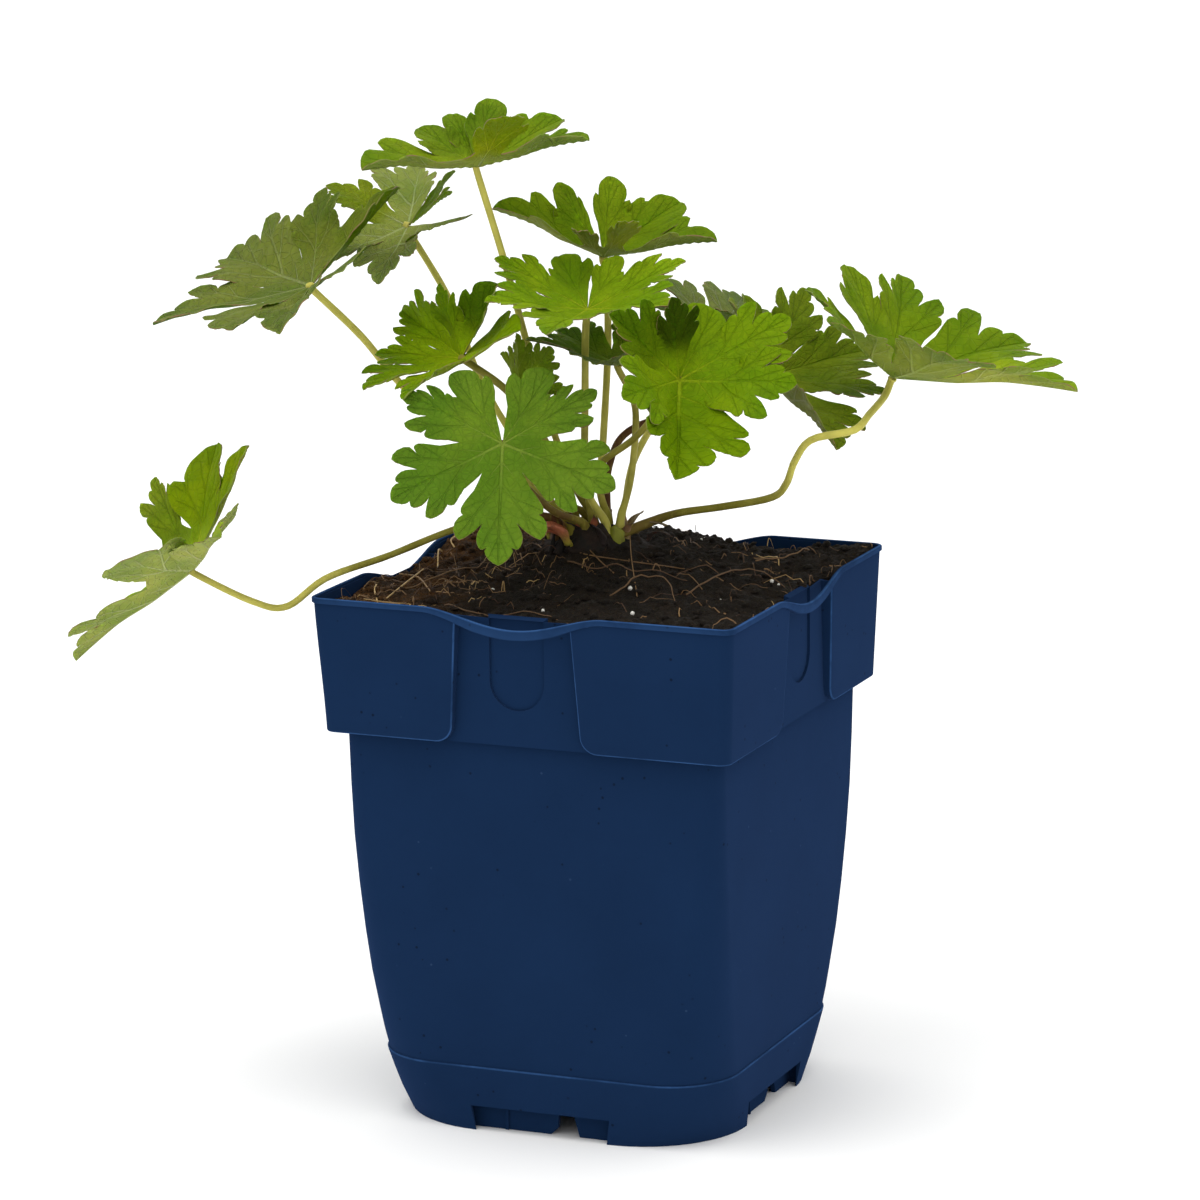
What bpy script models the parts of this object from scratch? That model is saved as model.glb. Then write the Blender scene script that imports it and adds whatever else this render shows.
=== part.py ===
"""Potted hardy geranium: square nursery pot, compost, rootstock, stalks and palmate leaves.

Frame: metres, +Z up, floor at z = 0, origin under the middle of the whole plant's outline.
Places below are in millimetres from the middle of the pot's base, x to the right, y to the back.
"""

import math
from collections import namedtuple

import bmesh
import bpy
from mathutils import Matrix, Vector

MM = 0.001
GAP = 0.3  # clearance between pieces that touch

# Pot
RIM_WIDTH = 131.4
RIM_HEIGHT = 161.0
WALL = 1.4
BEAD_FOOT = 157.4
BEAD_PROUD = 0.8
COLLAR_FOOT = 120.5
COLLAR_PANEL_HALF = 63.5
COLLAR_RECESS_HALF = 61.5
SHOULDER_HALF = 59.3
BAND_HEIGHT = 20.4
BAND_HALF = 55.6
RIM_CORNER = 3.6
RIM_RECESS_HALF = 61.2
BASE_HALF = 52.9
BASE_CORNER = 32.0
RECESS_HALF_WIDTH = 20.0
FLOOR_UNDERSIDE = 7.6
NOTCH_HALF_WIDTH = 22.5
NOTCH_DEPTH = 6.5
DRAIN_SLOT = 4.2
DRAIN_SLOT_START = 5.4
DRAIN_HOLE_RADIUS = 4.0
DRAIN_CUT_DEPTH = 12.0
STRAP_HALF_LENGTH = 27.0
STRAP_HEIGHT = 2.8
STRAP_THICKNESS = 1.7
STRAP_DIP = 5.2

# Plant
CROWN = (-4.0, 5.0)
CROWN_TOP = 170.5
CROWN_HALF_LENGTH = 17.5
CROWN_HALF_WIDTH = 11.5
CROWN_DEPTH = 34.0
POCKET_MOUTH = 3.0
POCKET_START = -2.2
COMPOST_EDGE = 157.0
MOUND = 11.5
BLADE = 0.8
BRACT_THICKNESS = 0.6
STALK_RADIUS = 1.2
THREAD_RADIUS = 0.4

CORNER_STEPS = 4
STALK_STEPS = 18

# One row for each leaf: place of the stalk's joint, compass bearing and height in degrees of the side that
# faces the light (0 is the front, 90 the right), turn of the middle lobe from downhill, length of the middle
# lobe, then for the seven lobes from one base lobe round to the other the lift, the swing and the stretch.
Leaf = namedtuple("Leaf", "name joint bearing height turn length lift swing stretch")
LOBE_ANGLES = (-152, -116, -62, 0, 62, 116, 152)
LOBE_LENGTHS = (0.72, 0.9, 1.0, 1.0, 1.0, 0.9, 0.72)
LOBES = len(LOBE_ANGLES)
MIDDLE_LOBE = LOBES // 2
LEAVES = (
    Leaf("low_left", (-107, -59, 165), -87, 63, 9, 44,
         (31, 41, 40, -10, 15, 7, 21), (4, -5, -13, -2, 9, 7, 0), (0.7, 1.15, 1.05, 1.05, 0.9, 1.0, 1.0)),
    Leaf("left", (-83, -25, 246), -83, 61, 15, 46,
         (23, 34, 22, 14, -10, -4, 10), (5, 3, -14, 1, 14, -10, 0), (1.2, 1.0, 1.1, 1.0, 1.0, 1.0, 1.0)),
    Leaf("back_left", (-69, 15, 259), -132, 73, 39, 36,
         (10, 9, 33, 34, -18, -30, 0), (0, 21, -12, 2, 6, -17, 0), (1.0, 0.8, 1.1, 0.85, 0.9, 1.25, 1.0)),
    Leaf("top", (-40, 1, 280), 8, 86, 25, 38,
         (26, -2, 16, 23, 14, 16, 31), (-11, 4, 0, 6, -1, 1, 2), (0.95, 1.05, 1.0, 1.0, 0.95, 0.95, 1.05)),
    Leaf("upper_right", (-10, 26, 251), 41, 69, 5, 37,
         (36, 19, 38, 45, 19, 15, 32), (-4, 1, 17, -13, -3, -3, 4), (1.0, 1.1, 0.9, 1.0, 0.95, 1.0, 1.05)),
    Leaf("middle", (-3, -4, 240), -4, 67, 13, 36,
         (13, 20, 24, 20, 15, 12, 20), (1, 1, 1, -6, 0, -1, 3), (1.0, 1.05, 0.9, 1.0, 1.0, 1.0, 0.8)),
    Leaf("small_left", (-39, -19, 226), -67, 26, -44, 31,
         (12, 39, 38, 39, 45, 21, 20), (6, 3, 9, -7, 1, -12, 0), (1.15, 0.75, 1.0, 0.95, 0.95, 1.1, 1.0)),
    Leaf("young", (-21, -13, 217), 153, 27, 169, 17,
         (25, 25, 27, 30, 28, 26, 25), (0, 0, 2, 1, -3, 0, 0), (1.0, 1.0, 1.0, 0.95, 1.05, 1.0, 1.0)),
    Leaf("front", (-14, -43, 206), 19, 34, 2, 37,
         (3, 6, 4, 2, 5, 5, 2), (6, -3, 1, -2, 1, 2, -5), (1.0, 1.0, 1.0, 1.05, 1.0, 0.95, 1.0)),
    Leaf("right_front", (31, -17, 223), 57, 36, -16, 37,
         (39, 20, 22, 6, 38, 27, 10), (-2, 3, 4, -12, 10, 3, 0), (0.95, 0.95, 0.95, 1.0, 0.95, 1.15, 1.0)),
    Leaf("right_back", (37, 40, 215), 112, 41, -6, 41,
         (15, 13, 6, 41, 37, 38, 20), (0, 0, 11, -5, 1, -4, -2), (1.0, 1.0, 1.1, 0.9, 1.05, 1.05, 0.95)),
    Leaf("far_right", (77, 40, 217), 106, 62, -12, 54,
         (19, 15, 24, 26, 24, 26, 28), (0, 3, -2, -3, 0, 1, 0), (1.0, 0.95, 1.0, 1.05, 1.0, 1.0, 1.05)),
    Leaf("back", (12.4, 65.8, 223), 159, 65, 103, 33,
         (6, 10, 28, 26, -3, 3, 5), (0, 0, -5, 2, 3, 0, 0), (1.0, 1.0, 1.15, 0.95, 0.95, 1.0, 1.0)),
    Leaf("inner", (2, 7, 222), -52, 79, -5, 27,
         (14, 20, 21, 26, 15, 13, 12), (0, -10, 3, -15, 5, 3, 0), (1.0, 0.95, 1.0, 1.05, 1.0, 1.0, 1.0)),
)

# For each stalk: where it stands on the rootstock, measured from the rootstock's middle along its length and
# across it, then the points that it passes on its way down from the leaf.
STALKS = {
    "low_left": ((-12.5, -3), [(-92, -51, 155), (-83, -46, 153), (-73, -39, 161), (-57, -29, 167),
                               (-40, -16, 174), (-24, -7, 177)]),
    "left": ((-8, -6), [(-73, -11, 229), (-62, -3, 212), (-41, -4, 199), (-20, -8, 187)]),
    "back_left": ((-4, 6), [(-54, 12, 237), (-43, 8, 215), (-29, 6, 195), (-17, 8, 180)]),
    "top": ((-1.5, 2), [(-32, 2, 252), (-25, 3, 226), (-19, 4, 205), (-12, 6, 185)]),
    "upper_right": ((3, 0), [(-9, 26, 245), (-6, 19, 224), (-4, 10, 199), (-4, 7, 184)]),
    "middle": ((-1.5, -3), [(-4, -3, 234), (-4, -4, 213), (-5, -2, 191)]),
    "small_left": ((-6.5, -1), [(-35, -22, 226), (-22, -20, 217), (-14, -12, 202), (-10, -3, 185)]),
    "young": ((-8.5, 4), [(-22, -12, 211), (-22, -5, 202), (-17, 1, 187)]),
    "front": ((-4, -8), [(-16, -37, 203), (-16, -26, 192), (-10, -15, 181)]),
    "right_front": ((2.5, -6.5), [(25, -14, 215), (15, -12, 204), (3, -9, 195), (-2, -6, 185)]),
    "right_back": ((2.5, 6), [(32, 34, 210), (20, 27, 207), (3, 14, 201), (-3, 12, 190)]),
    "far_right": ((14, -1.5), [(76, 35, 212), (76, 22, 209), (75, 11, 206), (63, 8, 203), (57, 10, 196),
                               (53, 13, 188), (47, 16, 183), (31, 17, 179), (19, 14, 177)]),
    "back": ((7, 5), [(11, 60, 216), (6, 44, 205), (2, 23, 188)]),
    "inner": ((8.5, 0), [(7, 8, 213), (9, 8, 202), (7, 9, 187)]),
}

# Dry bracts round the stalks: place on the rootstock as above, bearing and amount of the lean, length, width.
BRACTS = (
    ((-15, 1), -80, 35, 13, 6),
    ((-11, -8), -25, 30, 12, 6),
    ((1.5, -9.5), 10, 15, 10, 4.5),
    ((7, -7), 20, 10, 12, 4.5),
    ((11.5, 3.5), 120, 20, 11, 6),
)

# Root threads on the compost: corners of their routes, x and y, and how high the middle arches.
THREADS = (
    (((-6, -14), (4, -17), (16, -14), (30, -8)), 1.5),
    (((-30, -50), (-16, -54), (0, -55), (13, -57)), 0.6),
    (((34, -20), (40, -10), (46, 2), (56, 4)), 6.0),
    (((14, -30), (20, -22), (28, -20), (34, -28)), 4.0),
    (((-52, -34), (-44, -24), (-36, -16), (-34, -6)), 1.5),
    (((40, 22), (46, 30), (50, 40), (46, 50)), 2.0),
)


def clear_scene():
    for obj in list(bpy.data.objects):
        bpy.data.objects.remove(obj)


def material(name, colour, roughness):
    mat = bpy.data.materials.new(name)
    mat.use_nodes = True
    shader = mat.node_tree.nodes["Principled BSDF"]
    shader.inputs["Base Color"].default_value = (*colour, 1.0)
    shader.inputs["Roughness"].default_value = roughness
    return mat


def new_object(name, bm, mat, stand, smooth=True):
    """Turns a bmesh in millimetres into an object of the plant."""
    bmesh.ops.scale(bm, vec=(MM, MM, MM), verts=bm.verts)
    mesh = bpy.data.meshes.new(name)
    bm.to_mesh(mesh)
    bm.free()
    if smooth:
        mesh.shade_smooth()
        mesh.set_sharp_from_angle(angle=math.radians(40))
    mesh.materials.append(mat)
    obj = bpy.data.objects.new(name, mesh)
    obj.parent = stand
    bpy.context.scene.collection.objects.link(obj)
    return obj


def thicken(obj, thickness):
    shell = obj.modifiers.new("thickness", "SOLIDIFY")
    shell.thickness = thickness * MM
    shell.offset = 0


def mix(a, b, share):
    return a + (b - a) * share


def smooth_step(share):
    share = min(1.0, max(0.0, share))
    return share * share * (3 - 2 * share)


# ---------------------------------------------------------------- pot


def ring(half, corner, recess=None, width=RECESS_HALF_WIDTH):
    """Rounded square as a list of (x, y, in_recess), with the middle of each side set in to recess."""
    recess = half if recess is None else recess
    points = []
    for side in range(4):
        across = math.cos(math.radians(90 * side))
        along = math.sin(math.radians(90 * side))
        row = [(-width, -half, False), (-width, -recess, True)]
        row += [(width, -recess, True), (width, -half, False)]
        for step in range(CORNER_STEPS + 1):
            angle = math.radians(-90 + 90 * step / CORNER_STEPS)
            x = half - corner + corner * math.cos(angle)
            row.append((x, -(half - corner) + corner * math.sin(angle), False))
        for x, y, inside in row:
            points.append((x * across - y * along, x * along + y * across, inside))
    return points


def add_ring(bm, points, z, recess_z=None):
    recess_z = z if recess_z is None else recess_z
    return [bm.verts.new((x, y, recess_z if inside else z)) for x, y, inside in points]


def loft(bm, rings):
    """Closed skin over rings that have the same number of points."""
    for lower, upper in zip(rings, rings[1:]):
        for i in range(len(lower)):
            bm.faces.new((lower[i - 1], lower[i], upper[i], upper[i - 1]))
    bm.faces.new(rings[0])
    bm.faces.new(rings[-1])
    bmesh.ops.remove_doubles(bm, verts=bm.verts, dist=0.001)
    bmesh.ops.dissolve_degenerate(bm, edges=bm.edges, dist=0.001)
    bmesh.ops.recalc_face_normals(bm, faces=bm.faces)


# Outer side of the pot from the feet up: height, half width, corner radius.
BODY = (
    (0.0, BASE_HALF, BASE_CORNER),
    (9.5, 54.3, 26.0),
    (BAND_HEIGHT, BAND_HALF, 21.5),
    (BAND_HEIGHT + 0.1, BAND_HALF - 0.5, 21.0),
    (32.0, 56.2, 17.5),
    (58.0, 57.9, 12.0),
    (88.0, 58.9, 7.5),
    (COLLAR_FOOT - WALL, SHOULDER_HALF, 5.5),
)
INNER_FLOOR = FLOOR_UNDERSIDE + WALL
INNER_LEDGE = COLLAR_FOOT + WALL


def body_side(z_top, inset):
    """Inner side of the pot's body from its floor up, drawn in by inset: height, half width, corner."""
    rows = [(INNER_FLOOR, 54.2 - inset, 26.0 - inset), (BAND_HEIGHT, BAND_HALF - 0.6 - inset, 21.0 - inset)]
    rows += [(z, half - inset, max(corner - inset, 2.6)) for z, half, corner in BODY[4:-1]]
    rows.append((z_top, SHOULDER_HALF - inset, 5.5 - inset))
    return rows


# Collar from its foot up: height and half width of the corner panels, then height, half width and half length
# of the recess between them.
COLLAR = (
    (COLLAR_FOOT, COLLAR_PANEL_HALF, COLLAR_FOOT, COLLAR_RECESS_HALF, 23.5),
    (COLLAR_FOOT + 4.5, COLLAR_PANEL_HALF + 0.1, COLLAR_FOOT + 4.5, COLLAR_RECESS_HALF, RECESS_HALF_WIDTH),
    (BEAD_FOOT, RIM_WIDTH / 2 - BEAD_PROUD, BEAD_FOOT - 0.6, RIM_RECESS_HALF, 18.5),
    (BEAD_FOOT, RIM_WIDTH / 2, BEAD_FOOT, RIM_RECESS_HALF, 18.5),
    (RIM_HEIGHT, RIM_WIDTH / 2, BEAD_FOOT + 0.4, RIM_RECESS_HALF, 18.5),
)


def pot_mesh():
    bm = bmesh.new()
    share = FLOOR_UNDERSIDE / BODY[1][0]
    skirt_half = mix(BASE_HALF, BODY[1][1], share) - WALL
    skirt_corner = mix(BASE_CORNER, BODY[1][2], share) - WALL
    rings = [add_ring(bm, ring(skirt_half, skirt_corner), FLOOR_UNDERSIDE)]
    rings.append(add_ring(bm, ring(BASE_HALF - WALL, BASE_CORNER - WALL), 0.0))
    for z, half, corner in BODY:
        rings.append(add_ring(bm, ring(half, corner), z))
    rings.append(add_ring(bm, ring(SHOULDER_HALF, RIM_CORNER), COLLAR_FOOT))
    for z, half, recess_z, recess, width in COLLAR:
        rings.append(add_ring(bm, ring(half, RIM_CORNER, recess, width), z, recess_z))
    top, foot = COLLAR[-1], COLLAR[1]
    for z, half, recess_z, recess, width in (top, foot):
        bead = BEAD_PROUD if z == RIM_HEIGHT else 0
        inner = ring(half - WALL - bead, RIM_CORNER - 1, recess - WALL, width + WALL)
        rings.append(add_ring(bm, inner, z, recess_z))
    z, half, _, recess, width = COLLAR[0]
    rings.append(add_ring(bm, ring(half - WALL, RIM_CORNER - 1, recess - WALL, width + WALL), INNER_LEDGE))
    for z, half, corner in reversed(body_side(INNER_LEDGE, WALL)):
        rings.append(add_ring(bm, ring(half, corner), z))
    loft(bm, rings)
    return bm


def box_between(bm, low, high):
    """Adds a box with these lowest and highest corners."""
    made = bmesh.ops.create_cube(bm, size=1.0)["verts"]
    size = [b - a for a, b in zip(low, high)]
    middle = [(a + b) / 2 for a, b in zip(low, high)]
    bmesh.ops.scale(bm, vec=size, verts=made)
    bmesh.ops.translate(bm, vec=middle, verts=made)


def turn_to_side(bm, side):
    """Turns a shape made at the front side to one of the pot's four sides."""
    quarter_turns = Matrix.Rotation(math.radians(90 * side), 3, "Z")
    bmesh.ops.rotate(bm, cent=(0, 0, 0), matrix=quarter_turns, verts=bm.verts)


def strap_mesh(side):
    """The bowed strip of the rim over one label slot."""
    bm = bmesh.new()
    box_between(
        bm,
        (-STRAP_HALF_LENGTH, -RIM_WIDTH / 2, RIM_HEIGHT - STRAP_HEIGHT),
        (STRAP_HALF_LENGTH, -RIM_WIDTH / 2 + STRAP_THICKNESS, RIM_HEIGHT - 0.2),
    )
    along = [edge for edge in bm.edges if abs(edge.verts[0].co.x - edge.verts[1].co.x) > 1]
    bmesh.ops.subdivide_edges(bm, edges=along, cuts=9, use_grid_fill=True)
    for vert in bm.verts:
        bow = 0.5 + 0.5 * math.cos(math.pi * vert.co.x / STRAP_HALF_LENGTH)
        vert.co.z -= STRAP_DIP * bow
    turn_to_side(bm, side)
    return bm


def foot_mesh(side):
    """The set-back wall behind one notch of the skirt, with its drain slot."""
    bm = bmesh.new()
    front = -BASE_HALF + 0.4 * WALL
    back = -BASE_HALF + NOTCH_DEPTH
    top = FLOOR_UNDERSIDE + 0.5 * WALL
    half = NOTCH_HALF_WIDTH
    box_between(bm, (-half - WALL, back, 0.0), (DRAIN_SLOT_START, back + WALL, top))
    box_between(bm, (DRAIN_SLOT_START + DRAIN_SLOT, back, 0.0), (half + WALL, back + WALL, top))
    for edge in (-half - WALL, half):
        box_between(bm, (edge, front, 0.0), (edge + WALL, back + 0.5 * WALL, top))
    turn_to_side(bm, side)
    return bm


def drain_mesh():
    """Cutter for the round drain holes in the floor."""
    bm = bmesh.new()
    for hole_x, hole_y in ((0, 0), (-24, -24), (24, -24), (24, 24), (-24, 24)):
        made = bmesh.ops.create_cone(
            bm,
            cap_ends=True,
            segments=12,
            radius1=DRAIN_HOLE_RADIUS,
            radius2=DRAIN_HOLE_RADIUS,
            depth=DRAIN_CUT_DEPTH,
        )["verts"]
        bmesh.ops.translate(bm, vec=(hole_x, hole_y, FLOOR_UNDERSIDE), verts=made)
    return bm


def notch_mesh(side):
    """Cutter for the opening in one side of the skirt."""
    bm = bmesh.new()
    half = NOTCH_HALF_WIDTH
    box_between(bm, (-half, -BASE_HALF - 5.0, -2.0), (half, -BASE_HALF + 4.5, FLOOR_UNDERSIDE - 0.2))
    turn_to_side(bm, side)
    return bm


def helper(name, bm, stand):
    """A cutter or a form that only a Boolean uses."""
    obj = new_object(name, bm, bpy.data.materials["pot_plastic"], stand, smooth=False)
    obj.hide_render = True
    obj.display_type = "WIRE"
    return obj


def boolean(target, other, operation):
    """Joins other to the target, or cuts it from the target, with the exact solver."""
    modifier = target.modifiers.new(other.name, "BOOLEAN")
    modifier.operation = operation
    modifier.object = other


def make_pot(stand):
    mat = material("pot_plastic", (0.012, 0.035, 0.11), 0.38)
    pot = new_object("pot", pot_mesh(), mat, stand)
    for side in range(4):
        boolean(pot, helper(f"notch_cutter_{side}", notch_mesh(side), stand), "DIFFERENCE")
    for side in range(4):
        for number, part in enumerate(split_boxes(foot_mesh(side))):
            boolean(pot, helper(f"foot_wall_{side}_{number}", part, stand), "UNION")
        boolean(pot, helper(f"strap_form_{side}", strap_mesh(side), stand), "UNION")
    boolean(pot, helper("drain_cutter", drain_mesh(), stand), "DIFFERENCE")
    return pot


def split_boxes(bm):
    """Gives each box of a bmesh a bmesh of its own."""
    parts = []
    bm.verts.index_update()
    for start in range(0, len(bm.verts), 8):
        part = bm.copy()
        part.verts.ensure_lookup_table()
        drop = [v for v in part.verts if not start <= v.index < start + 8]
        bmesh.ops.delete(part, geom=drop, context="VERTS")
        parts.append(part)
    bm.free()
    return parts


# ---------------------------------------------------------------- compost and rootstock


def compost_height(x, y):
    """Height of the compost: a mound round the rootstock, low at the left front corner, with soft lumps."""
    spread = math.hypot(x - CROWN[0], y - CROWN[1])
    height = COMPOST_EDGE + MOUND * math.exp(-((spread / 38.0) ** 2))
    height += 3.5 * smooth_step((y + 10) / 70)
    height -= 2.8 * math.exp(-(((x + 60) ** 2 + (y + 50) ** 2) / 26.0**2))
    height += 0.7 * math.sin(0.19 * x + 1.3) * math.cos(0.23 * y) + 0.4 * math.sin(0.41 * x - 0.37 * y)
    return height


def crown_point(along, across):
    """Place on the rootstock, which lies along a line turned a little from the pot's front."""
    turn = math.radians(20)
    x = CROWN[0] + along * math.cos(turn) - across * math.sin(turn)
    y = CROWN[1] + along * math.sin(turn) + across * math.cos(turn)
    return x, y


def crown_ring(bm, scale, z, extra=0.0, count=20, start=0.0):
    verts = []
    for i in range(count):
        angle = start + 2 * math.pi * i / count
        knob = 1 + 0.05 * math.sin(3 * angle + 0.5) + 0.03 * math.sin(5 * angle)
        along = (CROWN_HALF_LENGTH * scale * knob + extra) * math.cos(angle)
        across = (CROWN_HALF_WIDTH * scale * knob + extra) * math.sin(angle)
        verts.append(bm.verts.new((*crown_point(along, across), z)))
    return verts


# Side of the rootstock from its top down: share of its full width, depth below the top.
CROWN_SIDE = ((1.0, 0.0), (1.06, 2.0), (0.95, 8.0), (0.7, 18.0), (0.4, 28.0), (0.2, CROWN_DEPTH))


def make_rootstock(stand):
    bm = bmesh.new()
    loft(bm, [crown_ring(bm, scale, CROWN_TOP - depth) for scale, depth in CROWN_SIDE])
    return new_object("rootstock", bm, material("rootstock_bark", (0.10, 0.055, 0.03), 0.8), stand)


def compost_ring(bm, share, points, z=None):
    """Ring of the compost's top: points drawn in towards the rootstock."""
    verts = []
    for x, y, _ in points:
        px = mix(CROWN[0], x, share)
        py = mix(CROWN[1], y, share)
        verts.append(bm.verts.new((px, py, compost_height(px, py) if z is None else z)))
    return verts


def make_compost(stand):
    bm = bmesh.new()
    inset = WALL + GAP
    rings = []
    for z, half, corner in body_side(INNER_LEDGE + GAP, inset):
        rings.append(add_ring(bm, ring(half - 0.1, corner), z + (GAP if z == INNER_FLOOR else 0)))
    outline = ring(COLLAR_PANEL_HALF - inset, RIM_CORNER, RIM_RECESS_HALF - inset, 23.5 + inset)
    rings.append(compost_ring(bm, 1.0, outline, INNER_LEDGE + GAP))
    rings.append(compost_ring(bm, 1.0, outline))
    plain = ring(COLLAR_RECESS_HALF - inset, RIM_CORNER)
    for share in (0.84, 0.68, 0.54, 0.42):
        rings.append(compost_ring(bm, share, plain))
    rings.append(crown_ring(bm, 1.06, CROWN_TOP - POCKET_MOUTH, GAP, len(plain), POCKET_START))
    for scale, depth in CROWN_SIDE[2:]:
        rings.append(crown_ring(bm, scale, CROWN_TOP - depth - GAP, GAP, len(plain), POCKET_START))
    loft(bm, rings)
    bmesh.ops.triangulate(bm, faces=bm.faces)
    return new_object("compost", bm, material("compost_peat", (0.02, 0.012, 0.008), 0.95), stand)


# ---------------------------------------------------------------- leaves


# Edge of half a lobe from beside the cleft: shoulder, side tip and its outer edge, notch, and the last tooth.
HALF_LOBE = ((0.56, 0.27), (0.70, 0.37), (0.83, 0.33), (0.71, 0.15), (0.91, 0.13))

# Widths of the half lobes, counted outwards from the middle lobe.
HALF_WIDTHS = (1.0, 1.0, 0.86, 0.86, 0.62, 0.55, 0.8)
# Clefts counted outwards from the middle lobe: radius in leaf lengths, angle in degrees.
CLEFTS = ((0.29, 31), (0.31, 89), (0.46, 134))


def lobe_frame(leaf, number):
    """Direction, upward and sideways vectors and length of one lobe's rib."""
    forward, sideways, normal = leaf_axes(leaf)
    angle = math.radians(LOBE_ANGLES[number] + leaf.swing[number])
    lift = math.radians(leaf.lift[number])
    flat = forward * math.cos(angle) + sideways * math.sin(angle)
    across = normal.cross(flat)
    rib = flat * math.cos(lift) + normal * math.sin(lift)
    up = normal * math.cos(lift) - flat * math.sin(lift)
    return rib, up, across, leaf.length * LOBE_LENGTHS[number] * leaf.stretch[number]


def leaf_axes(leaf):
    bearing, height, turn = (math.radians(v) for v in (leaf.bearing, leaf.height, leaf.turn))
    out = Vector((math.sin(bearing), -math.cos(bearing), 0))
    normal = out * math.cos(height) + Vector((0, 0, math.sin(height)))
    down = out * math.sin(height) - Vector((0, 0, math.cos(height)))
    side = normal.cross(down)
    forward = down * math.cos(turn) + side * math.sin(turn)
    return forward, normal.cross(forward), normal


def webbed_point(leaf, radius, angle):
    """Point of the blade's middle, where its lobes are joined, from its radius and angle on the flat leaf."""
    forward, sideways, normal = leaf_axes(leaf)
    angles = LOBE_ANGLES
    low = 0
    while low < LOBES - 2 and angle > angles[low + 1]:
        low += 1
    share = min(1.0, max(0.0, (angle - angles[low]) / (angles[low + 1] - angles[low])))
    swing = mix(leaf.swing[low], leaf.swing[low + 1], share)
    lift = math.radians(mix(leaf.lift[low], leaf.lift[low + 1], share))
    stretch = mix(leaf.stretch[low], leaf.stretch[low + 1], share)
    true = math.radians(angle + swing)
    flat = forward * math.cos(true) + sideways * math.sin(true)
    return (flat * math.cos(lift) + normal * math.sin(lift)) * radius * leaf.length * stretch


def room_beside(leaf, number, side):
    """Share of its flat width that half a lobe keeps: lobes that rise together lean towards each other."""
    neighbour = (number + side) % LOBES
    rib = lobe_frame(leaf, number)[0]
    next_rib = lobe_frame(leaf, neighbour)[0]
    flat = side * (LOBE_ANGLES[neighbour] - LOBE_ANGLES[number]) % 360
    return min(1.0, rib.angle(next_rib) / math.radians(flat))


LOBE_ARCH = 0.10
LOBE_FOLD = 0.12
WEB_RADIUS = 0.3
WEB_BLEND = 0.35


def blade_point(leaf, number, along, across):
    """Point of the blade from its place in one lobe, in lobe lengths along and across the lobe's rib."""
    length = LOBE_LENGTHS[number]
    radius = length * math.hypot(along, across)
    angle = LOBE_ANGLES[number] + math.degrees(math.atan2(across, along))
    web = webbed_point(leaf, radius, angle)
    rib, up, side, true_length = lobe_frame(leaf, number)
    rise = LOBE_ARCH * along * (1 - along) + LOBE_FOLD * abs(across)
    across *= room_beside(leaf, number, 1 if across > 0 else -1)
    own = (rib * along + side * across + up * rise) * true_length
    return Vector(leaf.joint) + web.lerp(own, smooth_step((radius - WEB_RADIUS) / WEB_BLEND))


def leaf_mesh(leaf):
    """Blade of a leaf: its flat half lobes are drawn, cut into triangles and bent into place."""
    bm = bmesh.new()
    place = bm.verts.layers.float_vector.new("lobe_place")

    def flat_vert(number, along, across):
        length = LOBE_LENGTHS[number]
        angle = math.radians(LOBE_ANGLES[number])
        x = length * (along * math.cos(angle) - across * math.sin(angle))
        y = length * (along * math.sin(angle) + across * math.cos(angle))
        vert = bm.verts.new((x, y, 0))
        vert[place] = (number, along, across)
        return vert

    centre = flat_vert(MIDDLE_LOBE, 0.0, 0.0)
    clefts = {low: cleft_between(leaf, low, flat_vert) for low in range(LOBES - 1)}
    for number in range(LOBES):
        ribs = [flat_vert(number, along, 0.0) for along in (0.35, 0.68, 1.0)]
        for side in (-1, 1):
            boundary = number if side > 0 else number - 1
            width = HALF_WIDTHS[half_index(number, side)]
            edge = [flat_vert(number, along, side * width * across) for along, across in HALF_LOBE]
            if boundary in clefts:
                edge.insert(0, clefts[boundary])
            loop = [centre, *edge, *reversed(ribs)]
            bm.faces.new(loop if side < 0 else list(reversed(loop)))
    bm.normal_update()
    bmesh.ops.triangulate(bm, faces=bm.faces)
    for vert in bm.verts:
        number, along, across = vert[place]
        vert.co = blade_point(leaf, round(number), along, across)
    bmesh.ops.recalc_face_normals(bm, faces=bm.faces)
    return bm


def half_index(number, side):
    """Half lobes counted outwards from the middle lobe's, 0, to the one beside the open sinus, 6."""
    outward = side * (number - MIDDLE_LOBE)
    if number == MIDDLE_LOBE:
        return 0
    return 2 * abs(number - MIDDLE_LOBE) - (0 if outward > 0 else 1)


def cleft_between(leaf, low, flat_vert):
    """The bottom of the cut between lobe low and the next one, deeper where one of the two is short."""
    radius, angle = CLEFTS[low - MIDDLE_LOBE if low >= MIDDLE_LOBE else MIDDLE_LOBE - 1 - low]
    radius *= min(1.0, leaf.stretch[low], leaf.stretch[low + 1])
    sign = 1 if low >= MIDDLE_LOBE else -1
    turn = math.radians(sign * angle - LOBE_ANGLES[low])
    length = LOBE_LENGTHS[low]
    return flat_vert(low, radius * math.cos(turn) / length, radius * math.sin(turn) / length)


def make_leaf(leaf, mat, stand):
    obj = new_object(f"leaf_{leaf.name}", leaf_mesh(leaf), mat, stand)
    thicken(obj, BLADE)
    return obj


# ---------------------------------------------------------------- stalks, bracts and threads


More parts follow.
